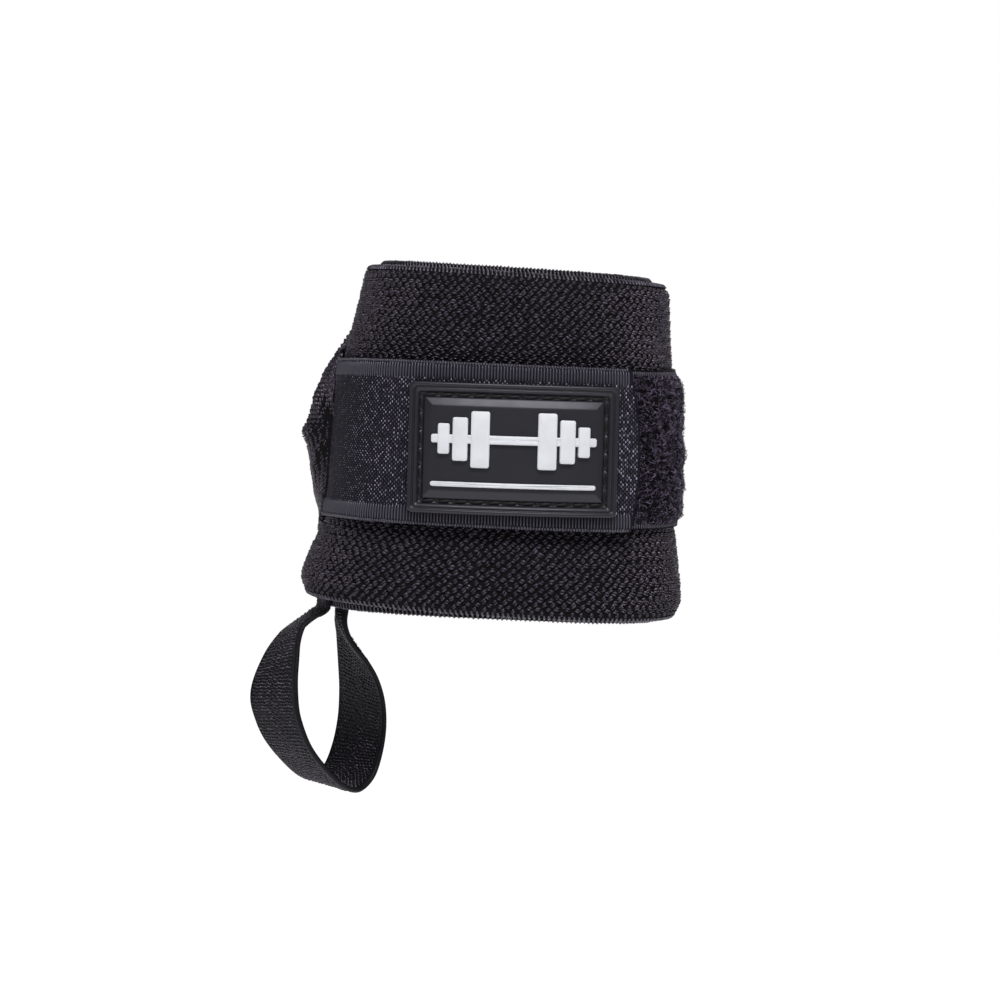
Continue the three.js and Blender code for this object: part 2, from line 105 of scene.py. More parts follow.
# Rubber patch
RUBBER_LENGTH = 48.3
RUBBER_HEIGHT = 30.4
RUBBER_TURN = 633.5
RUBBER_CENTRE = -1.0
RUBBER_TILT = 2.0
STITCH_INSET = 2.95
STITCH_PITCH = 3.9
STITCH_HALF_LENGTH = RUBBER_LENGTH / 2 - STITCH_INSET
STITCH_HALF_HEIGHT = RUBBER_HEIGHT / 2 - STITCH_INSET
STITCHES_ALONG = round(2 * STITCH_HALF_LENGTH / STITCH_PITCH)
STITCHES_UP = round(2 * STITCH_HALF_HEIGHT / STITCH_PITCH)
GROOVE = (2.5, 3.3)
PANEL_INSET = 5.7
PANEL_RISE = 2.2
RUBBER_PROFILE = [  # inset from the patch's outline and height of each ring of its moulded face
    (0.0, 0.0), (0.0, 1.35), (0.07, 1.62), (0.25, 1.83), (0.5, 1.9), (0.78, 1.88), (0.95, 1.78),
    (1.02, 1.6), (1.1, 1.48), (1.25, 1.46), (1.38, 1.52), (1.46, 1.68), (1.6, 1.74), (1.8, 1.7),
    (2.25, 1.3), (2.35, 1.0), (2.5, 0.85), (3.3, 0.85), (3.42, 1.0), (3.5, 1.28), (3.8, 1.45),
    (5.2, 2.1), (5.4, 2.17), (PANEL_INSET, PANEL_RISE),
]

# Relief on the patch's panel: each plate's width and height, from the bar's middle outward
PLATES = ((4.2, 13.0), (3.4, 10.0), (2.6, 7.0))
INNER_GRIP = 5.4
PLATE_GAP = 0.7
BAR_LENGTH = 37.0
BAR_HEIGHT = 2.0
BAR_SINK = 0.08  # the bar lies this much below its plates
BARBELL_RISE = 2.2
RULE_LENGTH = 37.0
RULE_HEIGHT = 1.1
RULE_DROP = 8.2
RELIEF = 0.6

# Thumb loop
LOOP_WIDTH = 19.0
LOOP_LENGTH = 146.0  # along its middle line, with both sewn ends
LOOP_THICKNESS = 1.3
LOOP_FLAT = 0.36 * LOOP_THICKNESS  # from its middle to the face between its round edges
LOOP_DROP = 47.5
LOOP_REACH = 9.0
LOOP_SPREAD = 16.0
LOOP_TAB_TURN = 186.0
LOOP_TAB_GAP = 0.42

# Knit: pitch of its knots along a row and from row to row, and the size of one knot
KNOT_PITCH = 2.1
ROW_PITCH = 1.06
KNOT_LENGTH = 1.58
KNOT_BREADTH = 1.16
KNOT_HEIGHT = 0.66
KNOT_SLANT = 38.0
OTHER_SLANT = -12.0
CLOTH_SINK = 0.42  # the cloth under the knots lies this far below the band's face
SPLIT_TURN = 738.0  # the knots are two pieces, parted here on the palm side
FEWER_FROM = 884.0  # from here on the gathered end's knots are fewer and coarser
LEAST_ROW_GAP = 1.7
BUNCH_TURNS = (868, 893)
HEM_START = 897.0  # from here the gathered end rolls in to its seam on the strap
HEM_END = 909.5
PINCH_HEIGHT = -0.4  # the folds of the gathered end run to this height at the seam
PAST_SEAM = 1.5  # and would meet this far past it

FLARE = {
    "height": [0, 0.012, 0.03, 0.055, 0.08, 0.11, 0.17, 0.23, 0.3,
               0.4, 0.5, 0.6, 0.7, 0.76, 0.84, 0.94, 0.988, 1],
    "thumb": [0.96, 1.01, 1.07, 1.1, 1.06, 0.98, 0.79, 0.58, 0.46,
              0.43, 0.42, 0.4, 0.38, 0.28, 0.15, 0.0, -0.07, -0.13],
    "little": [0.72, 0.81, 0.88, 0.9, 0.88, 0.84, 0.76, 0.67, 0.56,
               0.49, 0.43, 0.35, 0.28, 0.25, 0.17, 0.08, 0.0, -0.1],
    "back": [0.84, 0.92, 0.97, 0.99, 0.97, 0.93, 0.82, 0.68, 0.58,
             0.54, 0.5, 0.45, 0.4, 0.36, 0.28, 0.14, 0.02, -0.06],
    "palm": [0.88, 0.95, 0.99, 1.0, 0.98, 0.93, 0.83, 0.72, 0.62,
             0.56, 0.5, 0.45, 0.4, 0.33, 0.25, 0.1, 0.0, -0.06],
}
GATHER = {
    "height": [0, 0.06, 0.14, 0.28, 0.42, 0.49, 0.56, 0.63, 0.81, 0.95, 1],
    "stands_out": [0.03, 0.22, 0.46, 0.68, 0.9, 1.0, 0.97, 0.87, 0.55, 0.2, 0.05],
}


def smoothstep(x, low, high):
    share = np.clip((x - low) / (high - low), 0, 1)
    return share * share * (3 - 2 * share)


def lerp(a, b, share):
    return a + (b - a) * share


def soft_look_up(table, column, at):
    """A table's column at any heights, on a smooth curve through its rows."""
    x = np.array(table["height"], float)
    y = np.array(table[column], float)
    slope = np.gradient(y, x)
    at = np.clip(at, x[0], x[-1])
    row = np.clip(np.searchsorted(x, at) - 1, 0, len(x) - 2)
    span = x[row + 1] - x[row]
    share = (at - x[row]) / span
    start = (1 + 2 * share) * (1 - share) ** 2 * y[row] + share * (1 - share) ** 2 * span * slope[row]
    end = share ** 2 * (3 - 2 * share) * y[row + 1] + share ** 2 * (share - 1) * span * slope[row + 1]
    return start + end


def wrap_point(turn, z, offset):
    """Points beside the face of the turn that shows, for arrays of winding angle, height and offset."""
    turn, z, offset = np.broadcast_arrays(np.asarray(turn, float), z, offset)
    height = (z - HAND_EDGE) / BAND_WIDTH
    across = np.cos(np.radians(turn))
    through = np.sin(np.radians(turn))
    square = (abs(across) ** SQUARENESS + abs(through) ** SQUARENESS) ** (-1 / SQUARENESS)
    side = np.where(across < 0, soft_look_up(FLARE, "thumb", height), soft_look_up(FLARE, "little", height))
    face = np.where(through < 0, soft_look_up(FLARE, "back", height), soft_look_up(FLARE, "palm", height))
    breadth = lerp(ARM_BREADTH, HAND_BREADTH, side) / 2 + offset
    depth = lerp(ARM_DEPTH, HAND_DEPTH, face) / 2 + offset
    return np.stack([across * square * breadth, through * square * depth, z], axis=-1)


def unit(v):
    return v / np.linalg.norm(v, axis=-1, keepdims=True)


def wrap_axes(turn, z, offset):
    """The directions around, up and straight out of the wrap's surface."""
    probe = 0.4
    turn, z = np.asarray(turn, float), np.asarray(z, float)
    around = unit(wrap_point(turn + probe, z, offset) - wrap_point(turn - probe, z, offset))
    upward = wrap_point(turn, z + probe, offset) - wrap_point(turn, z - probe, offset)
    out = unit(np.cross(around, upward))
    return around, np.cross(out, around), out


def winding_offset(turn):
    return BAND_PITCH * (np.asarray(turn) - SHOWN_TURN) / 360


def closure_centre(turn):
    return CLOSURE_CENTRE_AT_ROOT + CLOSURE_RISE * (turn - STRAP_ROOT) / (STRAP_TIP - STRAP_ROOT)


def strap_seat(turn):
    over_pile = smoothstep(turn, PILE_START - 30, PILE_START + 2) * (PILE_COVERED + CLEARANCE)
    return winding_offset(turn) + CLEARANCE + over_pile


def distances_along(points):
    steps = np.linalg.norm(np.diff(points, axis=0), axis=1)
    return np.concatenate([[0], np.cumsum(steps)])


def turns_by_distance(start, end, offset, z=0.0):
    """Winding angles from start to end, and how far along the cloth each lies."""
    turns = np.linspace(start, end, 2400)
    return turns, distances_along(wrap_point(turns, z, offset))


def turn_along(turn, distance, z, offset):
    """The winding angles that lie distances along the wrap from another, each at its own height."""
    steps = 24
    probe = 0.5
    at = np.full(np.shape(distance), float(turn))
    for _ in range(steps):
        ahead, behind = wrap_point(at + probe, z, offset), wrap_point(at - probe, z, offset)
        at = at + distance / steps / np.linalg.norm(ahead - behind, axis=-1)
    return at


def add_object(name, data):
    piece = bpy.data.objects.new(name, data)
    bpy.context.scene.collection.objects.link(piece)
    return piece


def make_object(name, points, faces, material):
    """A mesh object from points in millimetres and faces that all have the same number of corners."""
    points = np.asarray(points, float).reshape(-1, 3) * MM
    faces = np.asarray(faces, np.int32)
    mesh = bpy.data.meshes.new(name)
    mesh.vertices.add(len(points))
    mesh.vertices.foreach_set("co", points.ravel())
    mesh.loops.add(faces.size)
    mesh.loops.foreach_set("vertex_index", faces.ravel())
    mesh.polygons.add(len(faces))
    mesh.polygons.foreach_set("loop_start", np.arange(0, faces.size, faces.shape[1], dtype=np.int32))
    mesh.polygons.foreach_set("use_smooth", np.ones(len(faces), bool))
    mesh.update(calc_edges=True)
    mesh.materials.append(material)
    return add_object(name, mesh)


def ring_faces(rings, points, capped=True):
    """Quads between rings of points, and across each end ring, whose halves face each other."""
    ring, point = np.meshgrid(np.arange(rings - 1), np.arange(points), indexing="ij")
    following = (point + 1) % points
    sides = np.stack([
        ring * points + point,
        (ring + 1) * points + point,
        (ring + 1) * points + following,
        ring * points + following,
    ], axis=-1).reshape(-1, 4)
    if not capped:
        return sides
    near = np.arange(points // 2 - 1)
    far = points - 1 - near
    last = (rings - 1) * points
    first_cap = np.stack([near, near + 1, far - 1, far], axis=-1)
    last_cap = last + np.stack([near, far, far - 1, near + 1], axis=-1)
    return np.concatenate([sides, first_cap, last_cap])


def cloth_object(name, outer, inner, material):
    """A closed cloth from the points of its outer and inner face, each (rings, points, 3)."""
    rings = np.concatenate([outer, inner[:, ::-1]], axis=1)
    return make_object(name, rings, ring_faces(rings.shape[0], rings.shape[1]), material)


def drawn_sizes(count, *ranges):
    """A size for each copy of a small form, its three lengths drawn one by one between two values."""
    return np.stack([rng.uniform(low, high, count) for low, high in ranges], axis=-1)


def varied_sizes(size, low, high, count):
    """A size for each copy of a small form, all three of its lengths drawn together."""
    return np.array(size) * rng.uniform(low, high, (count, 1))


def scattered(name, form, places, axes, scales, material):
    """Copies of a form's points and faces at each place, in one mesh. axes are its x, y and z directions."""
    template, faces = form
    local = template[None, :, :] * scales[:, None, :]
    points = places[:, None, :]
    for i in range(3):
        points = points + local[:, :, i:i + 1] * axes[i][:, None, :]
    count = len(template)
    joined = (faces[None, :, :] + count * np.arange(len(places))[:, None, None]).reshape(-1, faces.shape[1])
    return make_object(name, points, joined, material)


def turned(axes, degrees):
    """Axes turned about their third one, by an array of angles."""
    angle = np.radians(degrees)[:, None]
    return (
        axes[0] * np.cos(angle) + axes[1] * np.sin(angle),
        axes[1] * np.cos(angle) - axes[0] * np.sin(angle),
        axes[2],
    )


def lozenge():
    """A twisted strand's lump: unit length along x, unit breadth and height, open below. Triangles."""
    stations = np.array([-0.28, 0.0, 0.28])
    swell = np.array([0.86, 1.0, 0.86])
    sway = np.array([-0.09, 0.0, 0.09])
    section = [(-0.5, 0.0), (-0.27, 0.8), (0.22, 1.0), (0.5, 0.0)]
    points = [(-0.5, -0.16, 0.12)]
    for x, size, side in zip(stations, swell, sway):
        points += [(x, side + y * size, z * size) for y, z in section]
    points.append((0.5, 0.16, 0.12))
    faces = []
    for i in range(3):
        faces.append((0, 2 + i, 1 + i))
        faces.append((13, 9 + i, 10 + i))
        for ring in (1, 5):
            a, b = ring + i, ring + 4 + i
            faces += [(a, a + 1, b + 1), (a, b + 1, b)]
    return np.array(points), np.array(faces)


def twisted_knot():
    """Two strands of yarn side by side that rise out of the cloth and dive back into it. Triangles."""
    stations = np.array([-0.5, -0.27, 0.02, 0.3, 0.5])
    crest = np.array([-0.35, 0.72, 1.0, 0.66, -0.4])
    spread = np.array([0.62, 0.95, 1.0, 0.92, 0.6])
    section = [(-0.27, -0.5), (-0.15, -0.1), (0.1, 0.0), (0.25, -0.5)]
    points, faces = [], []
    for side, lift, lead in ((-0.25, 0.9, -0.05), (0.25, 1.0, 0.05)):
        base = len(points)
        for i, x in enumerate(stations):
            for y, z in section:
                height = -0.35 if z < -0.3 else lift * crest[i] + z
                points.append((x + lead, spread[i] * (side + y), max(height, -0.5)))
        for i in range(len(stations) - 1):
            for j in range(3):
                a = base + 4 * i + j
                faces += [(a, a + 4, a + 5), (a, a + 5, a + 1)]
    return np.array(points), np.array(faces)


def tube_faces(sides, steps):
    """Triangles round a tube, from its rings of points."""
    faces = []
    for i in range(steps - 1):
        for j in range(sides):
            a, b = sides * i + j, sides * i + (j + 1) % sides
            faces += [(a, b, b + sides), (a, b + sides, a + sides)]
    return np.array(faces)


def whip_strand(sides=4, steps=6):
    """A strand that goes over an edge: x along the edge, y through the cloth, z away from it."""
    lean, thickness = 0.75, 0.31
    points = []
    for i in range(steps):
        share = i / (steps - 1)
        angle = math.pi * (1.14 * share - 0.07)
        outward = np.array([0, math.cos(angle), math.sin(angle)])
        centre = outward + np.array([lean * (0.5 - share), 0, 0])
        for j in range(sides):
            turn = 2 * math.pi * j / sides
            away = math.cos(turn) * outward + math.sin(turn) * np.array([1.0, 0, 0])
            points.append(centre + thickness * away)
    return np.array(points), tube_faces(sides, steps)


def bent_fibre(steps=4):
    """A thin fibre of three sides, bent in its x and z: it leaves the cloth and comes back to it."""
    reach, thickness = 0.5, 0.05
    points = []
    for bend in np.radians(np.linspace(-30, 165, steps)):
        outward = np.array([math.cos(bend), 0, math.sin(bend)])
        for turn in np.radians([90, 210, 330]):
            away = math.cos(turn) * outward + math.sin(turn) * np.array([0, 1.0, 0])
            points.append(reach * outward + thickness * away)
    return np.array(points), tube_faces(3, steps)


def half_bead(sides=6):
    """A small dome: unit breadth, unit height, open below. Triangles."""
    angles = np.arange(sides) * 2 * math.pi / sides
    low = [(0.5 * math.cos(a), 0.5 * math.sin(a), 0.0) for a in angles]
    high = [(0.36 * math.cos(a), 0.36 * math.sin(a), 0.72) for a in angles]
    points = low + high + [(0, 0, 1)]
    faces = []
    for i in range(sides):
        j = (i + 1) % sides
        faces += [(i, j, sides + j), (i, sides + j, sides + i), (sides + i, sides + j, 2 * sides)]
    return np.array(points), np.array(faces)


# Materials

def add_node(tree, kind, **inputs):
    node = tree.nodes.new(kind)
    for name, value in inputs.items():
        node.inputs[name.replace("_", " ")].default_value = value
    return node


def noise(tree, scale, detail=3.0, roughness=0.6):
    node = add_node(tree, "ShaderNodeTexNoise", Scale=scale, Detail=detail, Roughness=roughness)
    tree.links.new(tree.nodes.new("ShaderNodeTexCoord").outputs["Object"], node.inputs["Vector"])
    return node.outputs["Fac"]


def bump(tree, principled, height, depth, strength=1.0):
    node = add_node(tree, "ShaderNodeBump", Strength=strength, Distance=depth * MM)
    tree.links.new(height, node.inputs["Height"])
    tree.links.new(node.outputs["Normal"], principled.inputs["Normal"])


def color_ramp(tree, factor, stops, socket):
    """Colours a socket by a factor, through a ramp of (position, colour) stops."""
    ramp = tree.nodes.new("ShaderNodeValToRGB")
    elements = ramp.color_ramp.elements
    while len(elements) < len(stops):
        elements.new(0.5)
    for element, (position, color) in zip(elements, stops):
        element.position = position
        element.color = (*color, 1)
    tree.links.new(factor, ramp.inputs["Fac"])
    tree.links.new(ramp.outputs["Color"], socket)


def by_strand(tree):
    return tree.nodes.new("ShaderNodeNewGeometry").outputs["Random Per Island"]


def make_material(name, roughness, color=None, stops=None, spots=None, grain=None, **sockets):
    """A principled material of one colour, or shaded between stops by the strand or by spots of a scale.

    grain is a bump's scale, detail, depth and strength, and sockets are the shader's other plain values.
    """
    material = bpy.data.materials.new(name)
    material.use_nodes = True
    tree = material.node_tree
    principled = tree.nodes["Principled BSDF"]
    principled.inputs["Roughness"].default_value = roughness
    for socket, value in sockets.items():
        principled.inputs[socket.replace("_", " ")].default_value = value
    if color:
        principled.inputs["Base Color"].default_value = (*color, 1)
    if stops:
        factor = noise(tree, spots) if spots else by_strand(tree)
        color_ramp(tree, factor, stops, principled.inputs["Base Color"])
    if grain:
        scale, detail, depth, strength = grain
        bump(tree, principled, noise(tree, scale, detail), depth, strength)
    return material


def knot_material():
    return make_material(
        "knit_yarn", 0.33, grain=(2600, 2, 0.12, 0.7),
        stops=[(0.0, (0.003, 0.0024, 0.0042)), (0.6, (0.013, 0.0107, 0.017)), (1.0, (0.036, 0.03, 0.046))],
        Specular_IOR_Level=0.55, Specular_Tint=(0.94, 0.8, 1.0, 1),
    )


# Painted light: the same yarn as the knots, made lighter to stand for the light that falls on the band's
# edges.
def selvage_material():
    return make_material(
        "selvage_yarn_painted_light", 0.36, grain=(2600, 2, 0.12, 0.7),
        stops=[(0.0, (0.014, 0.0125, 0.0175)), (1.0, (0.062, 0.056, 0.076))],
        Specular_IOR_Level=0.55, Specular_Tint=(0.94, 0.84, 1.0, 1),
    )


# Painted shade: the cloth under the knots is darker than the knots' yarn, to stand for the shade in the gaps
# between them.
def knit_ground_material():
    return make_material(
        "knit_ground_painted_shade", 0.9, spots=900, grain=(1500, 3, 0.25, 0.8),
        stops=[(0.3, (0.002, 0.002, 0.0025)), (0.8, (0.007, 0.0065, 0.008))],
        Specular_IOR_Level=0.12,
    )


def tape_material():
    return make_material(
        "hook_tape_weave", 0.65, spots=700, grain=(2200, 2, 0.12, 0.6),
        stops=[(0.3, (0.0034, 0.0028, 0.0056)), (0.75, (0.009, 0.0075, 0.0142))],
        Specular_IOR_Level=0.15, Specular_Tint=(0.85, 0.8, 1.0, 1),
    )


# The dots' shades differ at random; their light end is painted glints on the black hook heads.
def hook_dot_material():
    return make_material(
        "hook_dots_painted_glints", 0.36,
        stops=[(0.0, (0.008, 0.0074, 0.0115)), (0.5, (0.036, 0.033, 0.048)), (1.0, (0.26, 0.245, 0.32))],
        Specular_IOR_Level=0.36,
    )


# Painted highlight: the ribs and edge stitches are lighter than the weave they belong to, to stand for the
# light on their tops.
def rib_painted_light_material(name):
    return make_material(
        name, 0.4, color=(0.046, 0.044, 0.058), grain=(2600, 2, 0.08, 0.6),
        Specular_IOR_Level=0.5, Specular_Tint=(0.94, 0.9, 1.0, 1),
    )


def pile_material():
    return make_material(
        "loop_pile_ground", 0.7, spots=260, grain=(2400, 2, 0.3, 0.8),
        stops=[(0.35, (0.001, 0.0008, 0.0015)), (0.7, (0.004, 0.0032, 0.0058))],
        Specular_IOR_Level=0.08,
    )


# The fibres' shades differ at random, and their light end is painted glints of light on the pile.
def pile_fibre_material():
    return make_material(
        "loop_pile_fibres_painted_glints", 0.3,
        stops=[(0.0, (0.001, 0.0008, 0.0015)), (0.5, (0.006, 0.0049, 0.0088)), (1.0, (0.2, 0.165, 0.26))],
        Specular_IOR_Level=0.45, Specular_Tint=(0.9, 0.78, 1.0, 1),
    )


def narrow_elastic_material():
    return make_material(
        "narrow_elastic_weave", 0.55, spots=900, grain=(2200, 2, 0.12, 0.6),
        stops=[(0.3, (0.002, 0.0018, 0.0025)), (0.75, (0.007, 0.0062, 0.0086))],
        Specular_IOR_Level=0.16, Specular_Tint=(0.95, 0.88, 1.0, 1),
    )


def loop_yarn_material():
    return make_material(
        "narrow_elastic_yarn", 0.34,
        stops=[(0.0, (0.002, 0.0016, 0.0027)), (0.6, (0.008, 0.0068, 0.0102)), (1.0, (0.06, 0.052, 0.072))],
        Specular_IOR_Level=0.55, Specular_Tint=(0.94, 0.84, 1.0, 1),
    )


def rubber_material():
    """Moulded rubber, in places a little shinier than in others."""
    material = make_material(
        "moulded_rubber", 0.4, color=(0.008, 0.0078, 0.0115), grain=(3200, 3, 0.03, 0.5),
        Specular_IOR_Level=0.5, Specular_Tint=(0.92, 0.9, 1.0, 1),
    )
    tree = material.node_tree
    rough = add_node(tree, "ShaderNodeMapRange", To_Min=0.36, To_Max=0.5)
    tree.links.new(noise(tree, 180), rough.inputs["Value"])
    tree.links.new(rough.outputs["Result"], tree.nodes["Principled BSDF"].inputs["Roughness"])
    return material


def emblem_material():
    return make_material(
        "off_white_rubber", 0.45, spots=220, grain=(2600, 2, 0.03, 0.5),
        stops=[(0.3, (0.57, 0.58, 0.62)), (0.75, (0.64, 0.65, 0.69))],
    )


def thread_material():
    return make_material(
        "black_thread", 0.6, color=(0.005, 0.0048, 0.006), grain=(3000, 2, 0.08, 0.7),
        Specular_IOR_Level=0.25,
    )


# Band

def band_layers(turn, share):
    """Height, outer and inner offset of the band's faces, at winding angles and shares of its width."""
    inner_turn = 1 - smoothstep(turn, *LEVEL_TURNS)
    gathered = smoothstep(turn, *GATHER_TURNS)
    drop = inner_turn * lerp(DROP_IN_FRONT, 1, 1 - smoothstep(turn, *DROP_TURNS)) * INNER_TURN_DROP
    rise = inner_turn * INNER_TURN_RISE * smoothstep(share, *RISEN_SHARES)
    fall = drop * (1 - smoothstep(share, *DROPPED_SHARES))
    spread = HAND_EDGE + share * BAND_WIDTH + rise - fall
    z = lerp(spread, GATHERED_CENTRE + (share - 0.5) * GATHERED_WIDTH, gathered)
    at_edge = np.clip(1 - np.minimum(share, 1 - share) / ROUND_SHARE, 0, 1)
    thinned = (1 - np.sqrt(1 - at_edge ** 2)) * EDGE_THINNING * BAND_THICKNESS
    tucked = gathered * smoothstep(abs(2 * share - 1), *TUCKED_SHARES)
    dent = TAB_ROOM * (1 - smoothstep(turn, *TAB_ROOM_TURNS)) * (1 - smoothstep(share, *TAB_ROOM_SHARES))
    lift = GATHER_LIFT * smoothstep(turn, *LIFT_TURNS) * (1 - tucked) - dent
    inner = winding_offset(turn) + lift - BAND_THICKNESS + lerp(thinned, LEAST_THICKNESS, tucked)
    outer = winding_offset(turn) + lift - thinned
    bunched = np.maximum(bunch_face(turn, share, z), strap_seat(STRAP_ROOT) + CLEARANCE)
    outer = lerp(outer, bunched, smoothstep(turn, *HEM_TURNS))
    return z, outer, np.minimum(inner, outer - LEAST_THICKNESS)


def bunch_face(turn, share, z):
    """Offset of the gathered end's face, which stands out over the strap and rolls in to its seam."""
    rolled = (1 - np.clip((turn - HEM_START) / (HEM_END - HEM_START), 0, 1) ** 1.7) ** 0.75
    bulge = BUNCH_HEIGHT * soft_look_up(GATHER, "stands_out", share) * lerp(0.04, 1, rolled)
    seat = strap_seat(STRAP_ROOT) + STRAP_THICKNESS
    return seat + bulge + pucker(turn, z) * np.minimum(1, bulge / 2)


def band_face(turn, share):
    z, outer, _ = band_layers(turn, share)
    return wrap_point(turn, z, outer)


def to_pinch(turn, z):
    """How far back along the band, and how far up, points lie from where the end's folds meet."""
    mm_per_degree = 0.75
    return (HEM_END - turn) * mm_per_degree, z - PINCH_HEIGHT


def pucker(turn, z):
    """Folds of the gathered end, which run into one point of the seam on the strap."""
    depth, reach_of_folds, wide_folds, narrow_folds = 0.72, 12, 7.5, 14
    back, up = to_pinch(turn, z)
    reach = np.hypot(back, up)
    angle = np.arctan2(up, back + PAST_SEAM)
    folds = np.cos(wide_folds * angle + 0.5) + 0.25 * np.cos(narrow_folds * angle + 0.12 * back)
    return depth * folds * np.exp(-(reach / reach_of_folds) ** 2) * smoothstep(reach, 0, 5)


def band_cloth(material):
    finer_from = 850
    coarse, fine = np.arange(BAND_START, finer_from, 3.2), np.arange(finer_from, HEM_END, 1.0)
    turns = np.concatenate([coarse, fine, [HEM_END - 0.4, HEM_END]])
    edge = np.array([0, 0.002, 0.006, 0.012, 0.02, 0.03])
    shares = np.concatenate([edge, np.linspace(0.05, 0.95, 49), 1 - edge[::-1]])
    turn, share = np.meshgrid(turns, shares, indexing="ij")
    z, outer, inner = band_layers(turn, share)
    sink = CLOTH_SINK * smoothstep(np.minimum(share, 1 - share), 0.0, 0.02)
    outer_face = wrap_point(turn, z, outer - sink)
    return cloth_object("band_cloth", outer_face, wrap_point(turn, z, inner), material)


def covered(turn, z):
    """Where the strap, the pile patch or the gathered end hides the band, less a margin that may be seen."""
    margin, end_margin = 1.5, 2
    off_line = abs(z - closure_centre(turn))
    under_strap = (turn > STRAP_ROOT + 8) & (turn < STRAP_TIP - 3) & (off_line < STRAP_WIDTH / 2 - margin)
    under_pile = (turn > PILE_START + 3) & (turn < PILE_END - 2) & (off_line < PILE_WIDTH / 2 - margin)
    above_low = z > outer_turn_edge(turn + 360, -1) + end_margin
    below_high = z < outer_turn_edge(turn + 360, 1) - end_margin
    under_end = (turn < BAND_END - 360 - 5) & above_low & below_high
    return under_strap | under_pile | under_end


def outer_turn_edge(turn, facing):
    """Height of the outer turn's edge at the arm, where facing is 1, or at the hand, where it is -1."""
    gathered = smoothstep(turn, *GATHER_TURNS)
    return lerp(facing * BAND_WIDTH / 2, GATHERED_CENTRE + facing * GATHERED_WIDTH / 2, gathered)


def knit_places(first_turn, last_turn, margin=1.3):
    """Winding angle, height share and row of each knot, in rows set half a pitch off the next.

    The rows sway and draw together a little, and each knot is a little off its place.
    """
    turns = np.linspace(first_turn, last_turn, 4000)
    distances = distances_along(band_face(turns, np.full_like(turns, 0.5)))
    rows = int((BAND_WIDTH - 2 * margin) / ROW_PITCH) + 1
    columns = int(distances[-1] / KNOT_PITCH)
    column, row = np.meshgrid(np.arange(columns), np.arange(rows), indexing="ij")
    along = distances[-1] - (column + 0.5 * (row % 2) + 0.12) * KNOT_PITCH
    height = margin + row * (BAND_WIDTH - 2 * margin) / (rows - 1)
    sway = 0.3 * np.sin(0.31 * height + 0.11 * along) + 0.2 * np.sin(0.83 * height - 0.27 * along)
    lift = 0.22 * np.sin(0.23 * along + 0.4 * height) * np.sin(math.pi * height / BAND_WIDTH)
    along = along + sway + rng.normal(0, 0.13, along.shape)
    height = height + lift + rng.normal(0, 0.09, row.shape)
    return np.interp(along, distances, turns).ravel(), (height / BAND_WIDTH).ravel(), row.ravel()


def shown_knots():
    """Winding angle, height share and row of the knots that are seen. On the gathered end they are fewer."""
    first_shown = 478
    turn, share, row = knit_places(first_shown, HEM_END - 0.3)
    z, _, _ = band_layers(turn, share)
    above, below = (band_face(turn, share + side * ROW_PITCH / BAND_WIDTH) for side in (1, -1))
    gap = np.linalg.norm(above - below, axis=-1)
    thinned_out = (turn > FEWER_FROM) & (row % 2 == 1) & (gap < LEAST_ROW_GAP)
    shown = ~covered(turn, z) & ~thinned_out
    return turn[shown], share[shown], row[shown]


def knot_axes(turn, share, row, z):
    """Directions along, across and out of each knot. Their slant changes from row to row."""
    step = 0.5
    around = unit(band_face(turn + step, share) - band_face(turn - step, share))
    upward = unit(band_face(turn, share + step / BAND_WIDTH) - band_face(turn, share - step / BAND_WIDTH))
    out = unit(np.cross(around, upward))
    back, up = to_pinch(turn, z)
    drawn_in = smoothstep(turn, HEM_START - 25, HEM_START) * smoothstep(up, -9, -2)
    in_rows = np.where(row % 2 == 0, KNOT_SLANT, OTHER_SLANT)
    slant = lerp(in_rows, np.degrees(np.arctan2(-up, back + PAST_SEAM)), drawn_in)
    return turned((around, np.cross(out, around), out), slant + rng.normal(0, 9, len(turn)))


def knot_scales(turn, share, z):
    """Length, breadth and height of each knot: small near the pinch and at the edges."""
    count = len(turn)
    back, up = to_pinch(turn, z)
    bunch = smoothstep(turn, *BUNCH_TURNS)
    fewer = turn > FEWER_FROM
    closeness = np.where(fewer, 1.05, lerp(1, 0.8, smoothstep(turn, GATHER_START, 880)))
    coarse = np.where(fewer, 1.22, 1.0)
    calm = lerp(1, 0.5, bunch * smoothstep(-up, 3, 9))
    small = lerp(1, 0.52, (1 - smoothstep(np.hypot(back, up), 3, 9)) * bunch)
    edge = smoothstep(np.minimum(share, 1 - share) * BAND_WIDTH, 1.5, 4)
    return np.stack([
        KNOT_LENGTH * coarse * small * rng.uniform(0.9, 1.08, count) * lerp(0.8, 1, edge),
        KNOT_BREADTH * closeness * rng.uniform(0.9, 1.08, count) * lerp(0.8, 1, edge),
        KNOT_HEIGHT * calm * small * rng.uniform(0.75, 1.2, count) * lerp(0.7, 1, edge),
    ], axis=-1)


def knot_field(name, turn, share, row, material):
    """The knots of one stretch of the band's outer face."""
    z, outer, _ = band_layers(turn, share)
    axes = knot_axes(turn, share, row, z)
    places = wrap_point(turn, z, outer) - axes[2] * CLOTH_SINK
    return scattered(name, twisted_knot(), places, axes, knot_scales(turn, share, z), material)


def inner_knots(material):
    """The flatter stitches of the band's wrist side, where the hollow shows it."""
    stitch_size, slant = np.array([1.9, 1.15, 0.3]), -25
    turn, share, _ = knit_places(BAND_START + 2, BAND_START + 358, 1.9)
    z, _, inner = band_layers(turn, share)
    around, upward, out = wrap_axes(turn, z, inner)
    count = len(turn)
    axes = turned((around, -upward, -out), slant + rng.normal(0, 6, count))
    scales = stitch_size * drawn_sizes(count, (0.9, 1.08), (0.9, 1.08), (0.8, 1.15))
    places = wrap_point(turn, z, inner + 0.1)
    return scattered("band_lining_knit", half_bead(4), places, axes, scales, material)


